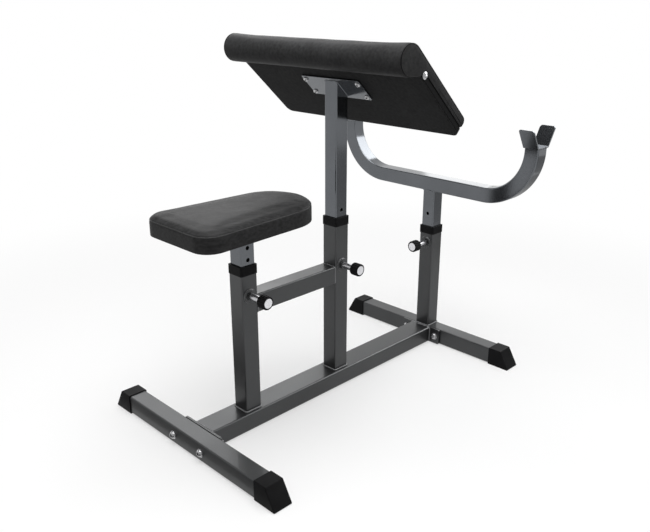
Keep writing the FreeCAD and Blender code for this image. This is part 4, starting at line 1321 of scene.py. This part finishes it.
class BENCH_OT_arm_pad(bpy.types.Operator):
    """Sew the arm pad's cover and wrap its board"""
    bl_idname = "bench.arm_pad"
    bl_label = "Arm Pad"

    def execute(self, context):
        pad = context.scene.bench_arm_pad
        pad_cover(pad, context.scene.bench_sewing)
        pad_end_panels(pad, context.scene.bench_sewing)
        pad_board(pad)
        return {"FINISHED"}


class BENCH_OT_bar_rack(bpy.types.Operator):
    """Bend the bar rack's tube"""
    bl_idname = "bench.bar_rack"
    bl_label = "Bar Rack"

    def execute(self, context):
        rack_tube()
        return {"FINISHED"}


class BENCH_OT_bolts(bpy.types.Operator):
    """Set the socket bolts of the crossbars, the seat and the arm pad"""
    bl_idname = "bench.bolts"
    bl_label = "Bolts"

    def execute(self, context):
        bolts = context.scene.bench_bolts
        crossbar_bolts(bolts)
        seat_bolts(bolts)
        pad_bolts(bolts, context.scene.bench_arm_pad)
        return {"FINISHED"}


class BENCH_OT_welds(bpy.types.Operator):
    """Lay the weld beads where tubes and plates meet"""
    bl_idname = "bench.welds"
    bl_label = "Welds"

    def execute(self, context):
        welds = context.scene.bench_welds
        for name, body, slot, finish, beads in weld_groups(welds, context.scene.bench_arm_pad):
            bm = bmesh.new()
            for path, up, size in beads:
                bead(bm, path, up, size, welds)
            finished(bm, name, slot, body, 60.0, finish)
        return {"FINISHED"}


class BENCH_OT_stage(bpy.types.Operator):
    """Set up the floor, the soft light and the camera"""
    bl_idname = "bench.stage"
    bl_label = "Stage"

    def execute(self, context):
        stage = context.scene.bench_stage
        context.scene.view_settings.view_transform = "Standard"
        studio_world(stage)
        studio_floor(stage)
        studio_camera(stage)
        add_softbox("overhead_softbox", (-0.2, -0.2, 2.7), (0.0, 0.0, 0.4), 2.2, 2.2, stage.overhead)
        rack = (0.46, 0.0, 0.55)
        add_card("rack_card", rack, 28.0, 13.0, 3.1, 1.03, 0.42, stage.rack_card)
        add_card("side_card", rack, -20.0, 36.0, 3.4, 3.6, 2.0, stage.side_card)
        add_card("back_card", (-0.4, 0.0, 0.05), 57.0, 33.0, 4.5, 2.2, 1.3, stage.back_card)
        add_flag("dark_flag", (-0.67, 1.12, 1.91), (0.46, -0.34, 0.72), 1.2, 1.2, 0.0)
        add_flag("grey_flag", (1.15, -1.1, 0.2), (0.02, 0.0, 0.2), 3.0, 0.4, stage.flag_tone)
        add_flag("low_flag", (1.75, 0.0, 0.01), (1.75, 0.0, 1.0), 1.1, 1.2, stage.flag_tone)
        # Grey sheet seen only in reflections: painted shadow beside the rear crossbar.
        add_flag("floor_shadow_flag", (-0.66, 0.1, 0.003), (-0.66, 0.1, 1.0), 0.26, 0.9, stage.floor_shadow_flag)
        return {"FINISHED"}


STEPS = (
    BENCH_OT_finishes, BENCH_OT_seat, BENCH_OT_arm_pad, BENCH_OT_bar_rack, BENCH_OT_bolts,
    BENCH_OT_welds, BENCH_OT_stage)
GROUPS = (
    ("bench_seat", BenchSeat), ("bench_arm_pad", BenchArmPad), ("bench_sewing", BenchSewing),
    ("bench_welds", BenchWelds), ("bench_bolts", BenchBolts), ("bench_finishes", BenchFinishes),
    ("bench_stage", BenchStage))


class BENCH_PT_panel(bpy.types.Panel):
    """Lists the bench's pieces and their sizes"""
    bl_idname = "BENCH_PT_panel"
    bl_label = "Preacher Curl Bench"
    bl_space_type = "VIEW_3D"
    bl_region_type = "UI"
    bl_category = "Bench"

    def draw(self, context):
        for step in STEPS:
            self.layout.operator(step.bl_idname)
        for name, group in GROUPS:
            column = self.layout.column(align=True)
            for key in group.__annotations__:
                column.prop(getattr(context.scene, name), key)


def register():
    for name, group in GROUPS:
        bpy.utils.register_class(group)
        setattr(bpy.types.Scene, name, PointerProperty(type=group))
    for step in STEPS:
        bpy.utils.register_class(step)
    bpy.utils.register_class(BENCH_PT_panel)


def unregister():
    bpy.utils.unregister_class(BENCH_PT_panel)
    for step in reversed(STEPS):
        bpy.utils.unregister_class(step)
    for name, group in reversed(GROUPS):
        delattr(bpy.types.Scene, name)
        bpy.utils.unregister_class(group)


def main():
    register()
    bpy.ops.bench.finishes()
    bpy.ops.bench.seat()
    bpy.ops.bench.arm_pad()
    bpy.ops.bench.bar_rack()
    bpy.ops.bench.bolts()
    bpy.ops.bench.welds()
    bpy.ops.bench.stage()


if __name__ == "__main__":
    main()
